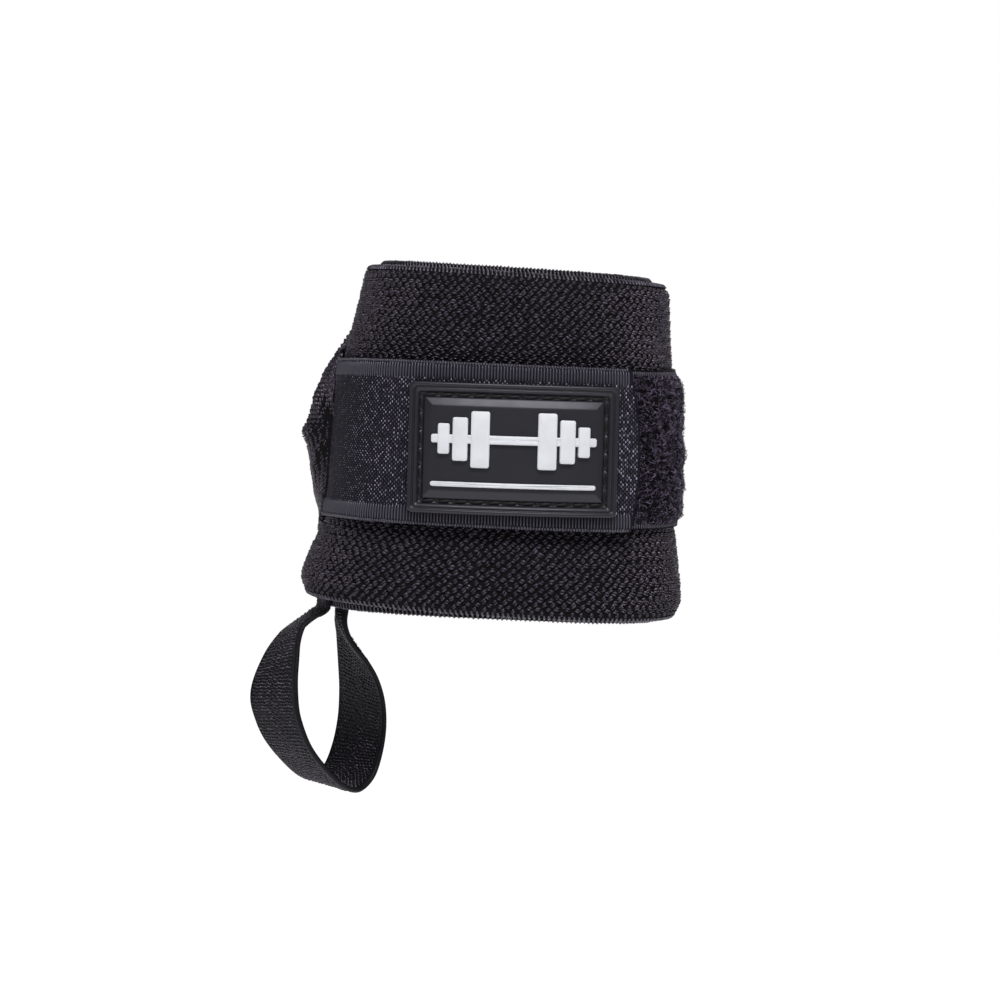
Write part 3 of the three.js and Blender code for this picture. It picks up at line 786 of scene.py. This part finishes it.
def band_selvages(material):
    """Whipped strands over both edges of the band, on every turn."""
    whip_pitch, reach, edge_share = 1.12, 1.0, 0.002
    turns, distances = turns_by_distance(BAND_START + 1, HEM_END - 2, 0.0)
    turn = np.interp(np.arange(whip_pitch / 2, distances[-1], whip_pitch), distances, turns)
    count = len(turn)
    facing = np.repeat([-1, 1], count)
    turn = np.tile(turn, 2)
    z, outer, inner = band_layers(turn, np.where(facing < 0, edge_share, 1 - edge_share))
    around, upward, out = wrap_axes(turn, z, outer)
    axes = (around * facing[:, None], out, upward * facing[:, None])
    places = wrap_point(turn, z - facing * (reach - 0.25), (outer + inner) / 2)
    varied = [(rng.uniform(0.9, 1.1, count), rng.uniform(0.94, 1.06, count)) for _ in (-1, 1)]
    breadth, height = np.concatenate(varied, axis=1)
    thickness = np.clip((outer - inner) / 2 + 0.1, 0.45, 1.2)
    scales = np.stack([breadth, thickness, reach * height], axis=-1)
    return scattered("band_selvages", whip_strand(), places, axes, scales, material)


# Closure strap

def strap_tip(share):
    """Winding angle of the strap's tip, which bows out and leans, at shares of its width."""
    return STRAP_TIP + TIP_BOW * (1 - (2 * share) ** 2) - TIP_LEAN * share


def strap_shape(along, share):
    """Winding angle and height of the strap at shares of its length and width."""
    turn = lerp(STRAP_ROOT, strap_tip(share), along)
    return turn, closure_centre(turn) + share * STRAP_WIDTH


def strap_tape(material):
    along, share = np.meshgrid(
        np.linspace(0, 1, 181),
        np.concatenate([[-0.5, -0.495, -0.485], np.linspace(-0.46, 0.46, 21), [0.485, 0.495, 0.5]]),
        indexing="ij",
    )
    turn, z = strap_shape(along, share)
    edge = 0.3 * STRAP_THICKNESS * smoothstep(abs(share), 0.485, 0.5)
    outer = wrap_point(turn, z, strap_seat(turn) + STRAP_THICKNESS - 0.12 - edge)
    inner = wrap_point(turn, z, strap_seat(turn) + edge)
    return cloth_object("strap_tape", outer, inner, material)


def strap_distances():
    """Winding angles up to the furthest point of the strap's tip, and how far along it each lies."""
    face = strap_seat(STRAP_TIP) + STRAP_THICKNESS
    return turns_by_distance(STRAP_ROOT, STRAP_TIP + TIP_BOW, face)


def strap_length():
    return strap_distances()[1][-1]


def on_tape(along_mm, share, margin):
    """The distances and width shares, of the given ones, that lie on the strap short of its tip."""
    turns, distances = strap_distances()
    turn = np.interp(along_mm, distances, turns)
    inside = turn < strap_tip(share) - margin
    return along_mm[inside], share[inside], turn[inside]


def strap_surface(along_mm, share, sunk):
    """Places and axes on the strap's outer face at distances along it."""
    turns, distances = strap_distances()
    turn = np.interp(along_mm, distances, turns)
    z = closure_centre(turn) + share * STRAP_WIDTH
    offset = strap_seat(turn) + STRAP_THICKNESS
    return wrap_point(turn, z, offset - sunk), wrap_axes(turn, z, offset)


def strap_dots(material):
    column_pitch, dot_pitch, selvage = 0.53, 1.04, 4.4
    columns = np.arange(0.8, strap_length() - 0.6, column_pitch)
    rows = np.arange(-STRAP_WIDTH / 2 + selvage, STRAP_WIDTH / 2 - selvage, dot_pitch)
    along, up = np.meshgrid(columns, rows, indexing="ij")
    order = np.arange(len(columns))[:, None]
    up = up + dot_pitch * np.array([0, 0.5])[order % 2] + rng.normal(0, 0.04, up.shape)
    along = along + rng.normal(0, 0.02, along.shape)
    along, share, turn = on_tape(along.ravel(), up.ravel() / STRAP_WIDTH, 0.9)
    places, axes = strap_surface(along, share, 0.14)
    count = len(along)
    bold = lerp(0.3, 1, smoothstep(turn, 562, 612)) * rng.uniform(0.85, 1.1, count)
    scales = np.stack([0.42 * bold, 0.74 * bold, 0.3 * bold * rng.uniform(0.6, 1.2, count)], axis=-1)
    return scattered("strap_dots", half_bead(5), places, axes, scales, material)


def both_edges(spread, share, margin):
    """Distances, width shares and winding angles of details along both edges of the strap."""
    return on_tape(np.tile(spread, 2), share * np.repeat([-1, 1], len(spread)), margin)


def strap_ribs(material):
    """Ribs across both woven edges, flatter near the strap's root."""
    rib_pitch, rib_height, inset = 0.74, 3.4, 0.8
    spread = np.arange(0.4, strap_length(), rib_pitch)
    centre = STRAP_WIDTH / 2 - inset - rib_height / 2
    along, share, turn = both_edges(spread, centre / STRAP_WIDTH, 0.8)
    places, axes = strap_surface(along, share, 0.13)
    axes = turned(axes, np.full(len(along), 90.0))
    scales = varied_sizes((rib_height * 1.15, 0.44, 0.46), 0.93, 1.07, len(along))
    scales[:, 1:] *= lerp(0.45, 1, smoothstep(turn, 540, 600))[:, None]
    return scattered("strap_ribs", lozenge(), places, axes, scales, material)


def strap_whipping(material):
    """Small stitches over both edges of the strap."""
    stitch_pitch, inset = 0.66, 0.4
    spread = np.arange(0.3, strap_length(), stitch_pitch)
    along, share, _ = both_edges(spread, 0.5 - inset / STRAP_WIDTH, 0.6)
    places, axes = strap_surface(along, share, 0.22)
    scales = varied_sizes((0.6, 0.8, 0.34), 0.8, 1.15, len(along))
    return scattered("strap_whipping", half_bead(), places, axes, scales, material)


# Loop pile patch

def pile_face(turn, share):
    """Offset of the pile patch's outer face: low at its woven edges, in lumps where it is open."""
    from_edge = (0.5 - abs(share)) * PILE_WIDTH
    dome = lerp(0.25, 1, np.sin(np.clip(from_edge / 9, 0, 1) * math.pi / 2))
    start = smoothstep(turn, PILE_START, PILE_START + 2)
    ends = np.minimum(start, 1 - smoothstep(turn, PILE_END - 4, PILE_END))
    opened = smoothstep(turn, STRAP_TIP + TIP_BOW + 3, STRAP_TIP + TIP_BOW + 9)
    lumps = (
        0.45 * np.sin(0.42 * turn + 9 * share) * np.cos(14 * share + 0.23 * turn)
        + 0.35 * np.sin(0.7 * turn - 17 * share) * np.cos(27 * share + 0.4 * turn)
        + 0.3 * np.sin(2.1 * turn + 41 * share) * np.cos(63 * share - 1.7 * turn)
        + 0.4 * np.sin(24 * share + 0.03 * turn) * np.cos(7 * share)
    )
    pile = lerp(PILE_COVERED, PILE_OPEN - 0.2 + lumps, opened)
    in_pile = smoothstep(from_edge, *PILE_EDGE) * dome * ends
    return winding_offset(turn) + CLEARANCE + lerp(PILE_WEAVE, pile, in_pile)


def pile_ground(material):
    turns, shares = np.linspace(PILE_START, PILE_END, 141), np.linspace(-0.5, 0.5, 61)
    turn, share = np.meshgrid(turns, shares, indexing="ij")
    z = closure_centre(turn) + share * PILE_WIDTH
    in_pile = smoothstep((0.5 - abs(share)) * PILE_WIDTH, *PILE_EDGE)
    sunk = 0.35 * in_pile * smoothstep(turn, STRAP_TIP, STRAP_TIP + 6)
    outer = wrap_point(turn, z, pile_face(turn, share) - sunk)
    inner = wrap_point(turn, z, winding_offset(turn) + CLEARANCE)
    return cloth_object("pile_ground", outer, inner, material)


def pile_edges(material):
    """Ribs across both woven edges of the pile patch, where it is open."""
    rib_pitch, rib_size, inset = 0.7, (0.5, 1.3, 0.2), 0.9
    turns, distances = turns_by_distance(STRAP_TIP - 2, PILE_END, CLEARANCE + PILE_COVERED)
    turn = np.interp(np.arange(rib_pitch / 2, distances[-1], rib_pitch), distances, turns)
    share = (0.5 - inset / PILE_WIDTH) * np.repeat([-1, 1], len(turn))
    turn = np.tile(turn, 2)
    z = closure_centre(turn) + share * PILE_WIDTH
    face = pile_face(turn, share)
    scales = varied_sizes(rib_size, 0.9, 1.1, len(turn))
    places, axes = wrap_point(turn, z, face - 0.04), wrap_axes(turn, z, face)
    return scattered("pile_edges", half_bead(), places, axes, scales, material)


def pile_loops(material):
    """Small curled fibres that stand up from the pile."""
    count = 9600
    turn = rng.uniform(STRAP_TIP - 3, PILE_END - 0.5, count)
    share = rng.uniform(-0.468, 0.468, count)
    z = closure_centre(turn) + share * PILE_WIDTH
    face = pile_face(turn, share)
    places = wrap_point(turn, z, face - 0.4)
    axes = turned(wrap_axes(turn, z, face), rng.uniform(0, 360, count))
    scales = drawn_sizes(count, (0.5, 1.5), (0.8, 1.3), (0.6, 1.6))
    return scattered("pile_loops", bent_fibre(), places, axes, scales, material)


# Rubber patch

def on_strap(along, up, out):
    """Points of the rubber patch, from flat along, up and out of its middle, bent on to the strap."""
    seat = strap_seat(RUBBER_TURN) + STRAP_THICKNESS
    tilt = math.radians(RUBBER_TILT)
    z = RUBBER_CENTRE + along * math.sin(tilt) + up * math.cos(tilt)
    turn = turn_along(RUBBER_TURN, along * math.cos(tilt) - up * math.sin(tilt), z, seat)
    axes = wrap_axes(turn, z, seat)
    face = wrap_point(turn, z, strap_seat(turn) + STRAP_THICKNESS)
    return face + axes[2] * (CLEARANCE + np.asarray(out))[..., None], axes


def rounded_rectangle(half_length, half_height, corner, side_steps=24, end_steps=14, corner_steps=6):
    """Points round a rectangle with round corners, clockwise from the left end's middle, as (n, 2)."""
    x0, y0 = half_length - corner, half_height - corner
    left = [(-half_length, y) for y in np.linspace(0, y0, end_steps // 2, endpoint=False)]
    angles = np.radians(np.linspace(180, 90, corner_steps + 1))
    arc = [(-x0 + corner * math.cos(a), y0 + corner * math.sin(a)) for a in angles]
    top = [(x, half_height) for x in np.linspace(-x0, 0, side_steps // 2, endpoint=False)][1:]
    quarter = left + arc + top
    points = quarter + [(0, half_height)] + [(-x, y) for x, y in reversed(quarter)]
    points += [(-x, -y) for x, y in quarter[1:]] + [(0, -half_height)]
    return np.array(points + [(x, -y) for x, y in reversed(quarter[1:])])


def patch_outline(inset, corner, shrink=1.0):
    """An outline inside the patch's own one."""
    half_length, half_height = RUBBER_LENGTH / 2 - inset, RUBBER_HEIGHT / 2 - inset
    return rounded_rectangle(half_length * shrink, half_height * shrink, corner * shrink, 120, 76)


def in_stitch_hole(along, up):
    """1 at the holes between the stitches, 0 elsewhere."""
    near_end = STITCH_HALF_LENGTH - abs(along) < STITCH_HALF_HEIGHT - abs(up)
    half = np.where(near_end, STITCH_HALF_HEIGHT, STITCH_HALF_LENGTH)
    stitches = np.where(near_end, STITCHES_UP, STITCHES_ALONG)
    place = (np.where(near_end, up, along) + half) / (2 * half) * stitches
    away = abs(place - np.round(place)) * (2 * half / stitches)
    return 1 - smoothstep(away, 0.15, 0.55)


def rubber_form(material):
    """The moulded patch, ring by ring from its foot to the middle of its panel."""
    hole_depth = 0.4
    rings = []
    for inset, out in RUBBER_PROFILE:
        along, up = patch_outline(inset, max(0.35, 1.3 - inset / 2)).T
        sunk = hole_depth * in_stitch_hole(along, up) if GROOVE[0] <= inset <= GROOVE[1] else 0
        rings.append(on_strap(along, up, np.full(len(along), out) - sunk)[0])
    for shrink in (0.75, 0.5, 0.25, 0.0):
        along, up = patch_outline(PANEL_INSET, 0.3, shrink).T
        rings.append(on_strap(along, up, np.full(len(along), PANEL_RISE))[0])
    faces = ring_faces(len(rings), len(rings[0]), capped=False)
    return make_object("rubber_form", np.array(rings), faces, material)


def patch_stitches(material):
    """Thread in the groove round the patch, one stitch between each pair of holes."""
    stitch_size, rise = (3.4, 0.95, 0.5), 0.87
    places = []
    for side in (-1, 1):
        for i in range(STITCHES_ALONG):
            along = lerp(-STITCH_HALF_LENGTH, STITCH_HALF_LENGTH, (i + 0.5) / STITCHES_ALONG)
            places.append((along, side * STITCH_HALF_HEIGHT, 0))
    for side in (-1, 1):
        for i in range(STITCHES_UP):
            up = lerp(-STITCH_HALF_HEIGHT, STITCH_HALF_HEIGHT, (i + 0.5) / STITCHES_UP)
            places.append((side * STITCH_HALF_LENGTH, up, 90))
    along, up, angle = np.array(places).T
    centre, axes = on_strap(along, up, np.full(len(along), rise))
    axes = turned(axes, angle + RUBBER_TILT)
    scales = np.tile(stitch_size, (len(along), 1))
    return scattered("patch_stitches", lozenge(), centre, axes, scales, material)


def bevelled_block(length, height, relief, corner=0.5):
    """Rings of one raised block with soft corners and a bevelled top, as (rings, points, 3) flat sizes."""
    bevel = 0.24
    half_length, half_height = length / 2, height / 2
    profile = [(0, 0), (0, relief * 0.7), (0.08, relief * 0.9), (bevel, relief)]
    sizes = []
    for inset, out in profile:
        sizes.append((half_length - inset, half_height - inset, max(0.05, corner - inset), out))
    for shrink in (0.6, 0.02):
        sizes.append(((half_length - bevel) * shrink, (half_height - bevel) * shrink, 0.04 * shrink, relief))
    rings = []
    for *size, out in sizes:
        outline = rounded_rectangle(*size, 24, 6, 4)
        rings.append(np.column_stack([outline, np.full(len(outline), out)]))
    return np.array(rings)


def relief_object(name, blocks, material):
    """Joined blocks, each (centre along, centre up, length, height, relief), on the patch's panel."""
    points, faces, base = [], [], 0
    for along, up, length, height, relief in blocks:
        rings = bevelled_block(length, height, relief)
        bent, _ = on_strap(rings[..., 0] + along, rings[..., 1] + up, rings[..., 2] + PANEL_RISE)
        points.append(bent.reshape(-1, 3))
        faces.append(ring_faces(rings.shape[0], rings.shape[1], capped=False) + base)
        base += rings.shape[0] * rings.shape[1]
    return make_object(name, np.concatenate(points), np.concatenate(faces), material)


def barbell(material):
    blocks = [(0, BARBELL_RISE, BAR_LENGTH, BAR_HEIGHT, RELIEF + CLEARANCE - BAR_SINK)]
    for side in (-1, 1):
        start = INNER_GRIP
        for width, height in PLATES:
            blocks.append((side * (start + width / 2), BARBELL_RISE, width, height, RELIEF + CLEARANCE))
            start += width + PLATE_GAP
    return relief_object("barbell_relief", blocks, material)


def rule(material):
    block = (0, -RULE_DROP, RULE_LENGTH, RULE_HEIGHT, RELIEF + CLEARANCE)
    return relief_object("rule_relief", [block], material)


# Thumb loop

LOOP_ROUTE = {
    "outward": [0, 0, 0, 0.05, 0.36, 0.68, 0.9, 1.0, 1.0, 0.85, 0.55, 0.12, -0.33,
                -0.7, -1.02, -1.2, -1.28, -1.24, -1.1, -0.9, -0.68, -0.51, -0.48, -0.48, -0.48],
    "palmward": [0, 0, 0, 0, -0.02, -0.14, -0.28, -0.44, -0.52, -0.52, -0.46, -0.3, -0.06,
                 0.2, 0.44, 0.6, 0.66, 0.62, 0.5, 0.33, 0.14, 0.03, 0, 0, 0],
    "drop": [-0.29, -0.16, -0.03, 0.06, 0.12, 0.2, 0.3, 0.42, 0.54, 0.65, 0.77, 0.88, 0.97,
             1.0, 0.95, 0.84, 0.7, 0.55, 0.41, 0.28, 0.17, 0.08, -0.03, -0.16, -0.29],
    "turn": [0, 0, 0, 1, 6, 13, 24, 35, 42, 43, 43, 43, 43, 43, 43, 43, 42, 39, 32, 20, 8, 1, 0, 0, 0],
    "held": [1, 1, 1, 1, 0.35, 0, 0, 0, 0, 0, 0, 0, 0, 0, 0, 0, 0, 0, 0, 0, 0.25, 1, 1, 1, 1],
}


def catmull_rom(values, at):
    """A smooth curve through rows of values, at shares of the way along them."""
    values = np.asarray(values, float)
    last = len(values) - 1
    place = np.clip(at * last, 0, last - 1e-9)
    row = place.astype(int)
    t = (place - row).reshape((-1,) + (1,) * (values.ndim - 1))
    a, b = values[np.maximum(row - 1, 0)], values[row]
    c, d = values[row + 1], values[np.minimum(row + 2, last)]
    square, cube = 2 * a - 5 * b + 4 * c - d, 3 * b - a - 3 * c + d
    return 0.5 * (2 * b + (c - a) * t + square * t ** 2 + cube * t ** 3)


def loop_tab_point(across, out, z, outer_tab):
    """Points of the loop's ends, which lie against the band's inner turn."""
    face = winding_offset(LOOP_TAB_TURN) - TAB_ROOM
    outside = face + LOOP_TAB_GAP + LOOP_THICKNESS / 2
    inside = face - BAND_THICKNESS - LOOP_TAB_GAP - LOOP_THICKNESS / 2
    middle = np.where(outer_tab, outside, inside)
    turns, distances = turns_by_distance(LOOP_TAB_TURN - 40, LOOP_TAB_TURN + 40, -5.0, HAND_EDGE)
    centre = np.interp(LOOP_TAB_TURN, turns, distances)
    turn = np.interp(centre - across, distances, turns)
    return wrap_point(turn, z, middle + np.where(outer_tab, out, -out))


def loop_point(along, across, out):
    """Points of the thumb loop at shares of its length, and distances across and out of its middle."""
    along, across, out = np.broadcast_arrays(along, across, out)
    shape = along.shape
    along, across, out = along.ravel(), across.ravel(), out.ravel()
    anchor = loop_tab_point(np.zeros(1), np.zeros(1), HAND_EDGE, np.ones(1, bool))[0]
    route = np.column_stack([
        anchor[0] - LOOP_REACH * np.array(LOOP_ROUTE["outward"]),
        anchor[1] + LOOP_SPREAD * np.array(LOOP_ROUTE["palmward"]),
        HAND_EDGE - LOOP_DROP * np.array(LOOP_ROUTE["drop"]),
    ])
    middle = catmull_rom(route, along)
    ahead = catmull_rom(route, np.minimum(along + 1e-3, 1))
    behind = catmull_rom(route, np.maximum(along - 1e-3, 0))
    forward = unit(ahead - behind)
    angle = np.radians(90 + catmull_rom(LOOP_ROUTE["turn"], along))
    held = np.clip(catmull_rom(LOOP_ROUTE["held"], along), 0, 1)[:, None]
    width = np.stack([np.cos(angle), np.sin(angle), 0 * angle], axis=-1)
    width = unit(width - forward * np.sum(width * forward, axis=-1, keepdims=True))
    outward = np.cross(width, forward)
    free = middle + width * across[:, None] + outward * out[:, None]
    tab = loop_tab_point(across, out, middle[:, 2], along < 0.5)
    return lerp(free, tab, held).reshape(shape + (3,))


def thumb_loop(material):
    """The narrow elastic, flat in the middle and round along both edges."""
    edge = [0.5, 0.497, 0.488, 0.475, 0.46, 0.445, 0.432, 0.42]
    shares = np.concatenate([edge, np.linspace(0.4, -0.4, 17), -np.array(edge[::-1])])
    along, share = np.meshgrid(np.linspace(0, 1, 241), shares, indexing="ij")
    roll = np.sqrt(np.clip(1 - ((abs(share) - 0.46) / 0.04) ** 2, 0, 1)) * 0.5 * LOOP_THICKNESS
    inside = np.maximum(np.where(abs(share) > 0.43, roll, 0), LOOP_FLAT)
    half = np.where(abs(share) > 0.46, np.maximum(roll, 0.1), inside)
    across = share * LOOP_WIDTH
    outer, inner = loop_point(along, across, half), loop_point(along, across, -half)
    return cloth_object("loop_elastic", outer, inner, material)


def loop_dashes(material):
    """Short slanted floats of yarn over both faces of the loop's elastic."""
    dash_size, row_pitch, half_width, slant = (1.15, 0.46, 0.4), 0.84, 7.5, 78
    rows, columns = np.arange(0.4, LOOP_LENGTH, row_pitch), np.arange(-half_width, half_width, dash_size[0])
    along, up = np.meshgrid(rows, columns, indexing="ij")
    along = ((along + 0.16 * np.sin(2.4 * up)) / LOOP_LENGTH).ravel()
    odd = (np.arange(len(rows)) % 2)[:, None]
    across = (up + 0.5 * dash_size[0] * odd).ravel() + rng.normal(0, 0.05, up.size)
    facing = np.repeat([1, -1], len(along))
    along, across = np.tile(along, 2), np.tile(across, 2)
    surface = facing * (LOOP_FLAT - 0.05)
    step = 0.5 / LOOP_LENGTH
    ahead = loop_point(np.minimum(along + step, 1), across, surface)
    behind = loop_point(np.maximum(along - step, 0), across, surface)
    lengthwise = unit(ahead - behind)
    sideways = unit(loop_point(along, across + 0.2, surface) - loop_point(along, across - 0.2, surface))
    out = facing[:, None] * unit(np.cross(sideways, lengthwise))
    axes = turned((lengthwise, np.cross(out, lengthwise), out), slant + rng.normal(0, 7, len(along)))
    scales = varied_sizes(dash_size, 0.8, 1.15, len(along))
    places = loop_point(along, across, surface)
    return scattered("loop_dashes", half_bead(5), places, axes, scales, material)


# Camera, light and floor

def camera():
    """The photograph's view: the lens, the place of the eye and the roll were worked out from it."""
    distance, eye_height, roll = 550.0, 20.3, 3.8
    target = Vector((0.5, 0.0, -14.75)) * MM
    eye = Vector((0.0, -distance, eye_height)) * MM
    data = bpy.data.cameras.new("camera")
    data.lens = 80.8
    data.sensor_width = 36
    piece = add_object("camera", data)
    aim = (target - eye).to_track_quat("-Z", "Y").to_matrix().to_4x4()
    piece.matrix_world = Matrix.Translation(eye) @ aim @ Matrix.Rotation(math.radians(roll), 4, "Z")
    bpy.context.scene.camera = piece


def area_light(name, place, size, power, color=(1, 1, 1)):
    data = bpy.data.lights.new(name, "AREA")
    data.shape = "RECTANGLE"
    data.size, data.size_y = size
    data.energy = power
    data.color = color
    light = add_object(name, data)
    light.location = place
    light.rotation_euler = (-Vector(place)).to_track_quat("-Z", "Y").to_euler()


def studio():
    world = bpy.data.worlds.new("studio")
    bpy.context.scene.world = world
    world.use_nodes = True
    tree = world.node_tree
    background = tree.nodes["Background"]
    background.inputs["Color"].default_value = (1, 1, 1, 1)
    seen = tree.nodes.new("ShaderNodeLightPath").outputs["Is Camera Ray"]
    strength = add_node(tree, "ShaderNodeMapRange", To_Min=0.17, To_Max=1.0)
    tree.links.new(seen, strength.inputs["Value"])
    tree.links.new(strength.outputs["Result"], background.inputs["Strength"])
    area_light("key", (0.04, -0.68, 0.87), (0.9, 0.3), 14)
    area_light("side", (0.9, -0.3, 0.3), (0.3, 0.8), 0.25)
    area_light("edge", (-0.85, 0.5, 0.1), (0.2, 0.8), 0.15, (0.88, 0.92, 1.0))
    area_light("back", (0.3, 0.9, 0.5), (0.8, 0.4), 3)
    bpy.context.scene.view_settings.view_transform = "Standard"


def floor():
    white, glow = (0.9, 0.9, 0.9), 0.9
    material = make_material(
        "floor", 0.9, color=white, Emission_Color=(1, 1, 1, 1), Emission_Strength=glow,
    )
    half = 6000.0
    depth = -900.0
    corners = [(-half, -half, depth), (half, -half, depth), (half, half, depth), (-half, half, depth)]
    piece = make_object("floor", corners, [(0, 1, 2, 3)], material)


def ride(piece, slot, *nodes):
    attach(piece, "root")
    if nodes:
        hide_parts(*nodes)


def dress_sheet(cloth, slot, node, details):
    """Puts a cloth in a solid's place, with its details."""
    ride(cloth, slot, node)
    for piece in details:
        ride(piece, slot)


def wound_length(start, end, offset):
    return turns_by_distance(start, end, offset)[1][-1]


def dress_band():
    yarn = knot_material()
    cloth = band_cloth(knit_ground_material())
    turn, share, row = shown_knots()
    on_back = turn < SPLIT_TURN
    details = []
    for name, part in (("band_knit_hand_back", on_back), ("band_knit_palm", ~on_back)):
        details.append(knot_field(name, turn[part], share[part], row[part], yarn))
    details += [inner_knots(yarn), band_selvages(selvage_material())]
    flat = (BAND_WIDTH, wound_length(BAND_START, BAND_END, -BAND_PITCH))
    dress_sheet(cloth, "knit", "elastic_band", details)


def dress_strap():
    tape = strap_tape(tape_material())
    ribs = rib_painted_light_material("hook_tape_ribs")
    details = [strap_dots(hook_dot_material()), strap_ribs(ribs), strap_whipping(ribs)]
    flat, under = (STRAP_WIDTH, strap_length()), ["band_cloth", "pile_ground"]
    dress_sheet(tape, "hook_tape", "closure_strap", details)


def dress_pile():
    ground = pile_ground(pile_material())
    details = [pile_loops(pile_fibre_material()), pile_edges(rib_painted_light_material("loop_pile_ribs"))]
    flat = (PILE_WIDTH, wound_length(PILE_START, PILE_END, CLEARANCE + PILE_COVERED))
    dress_sheet(ground, "loop_pile", "loop_patch", details)


def dress_rubber():
    ride(rubber_form(rubber_material()), "patch_rubber", "rubber_patch")
    ride(patch_stitches(thread_material()), "patch_rubber")
    white = emblem_material()
    ride(barbell(white), "emblem", "emblem_barbell")
    ride(rule(white), "emblem", "emblem_rule")


def dress_loop():
    loop = thumb_loop(narrow_elastic_material())
    details = [loop_dashes(loop_yarn_material())]
    dress_sheet(loop, "narrow_elastic", "thumb_loop", details)


camera()
studio()
floor()
dress_loop()
dress_band()
dress_pile()
dress_strap()
dress_rubber()
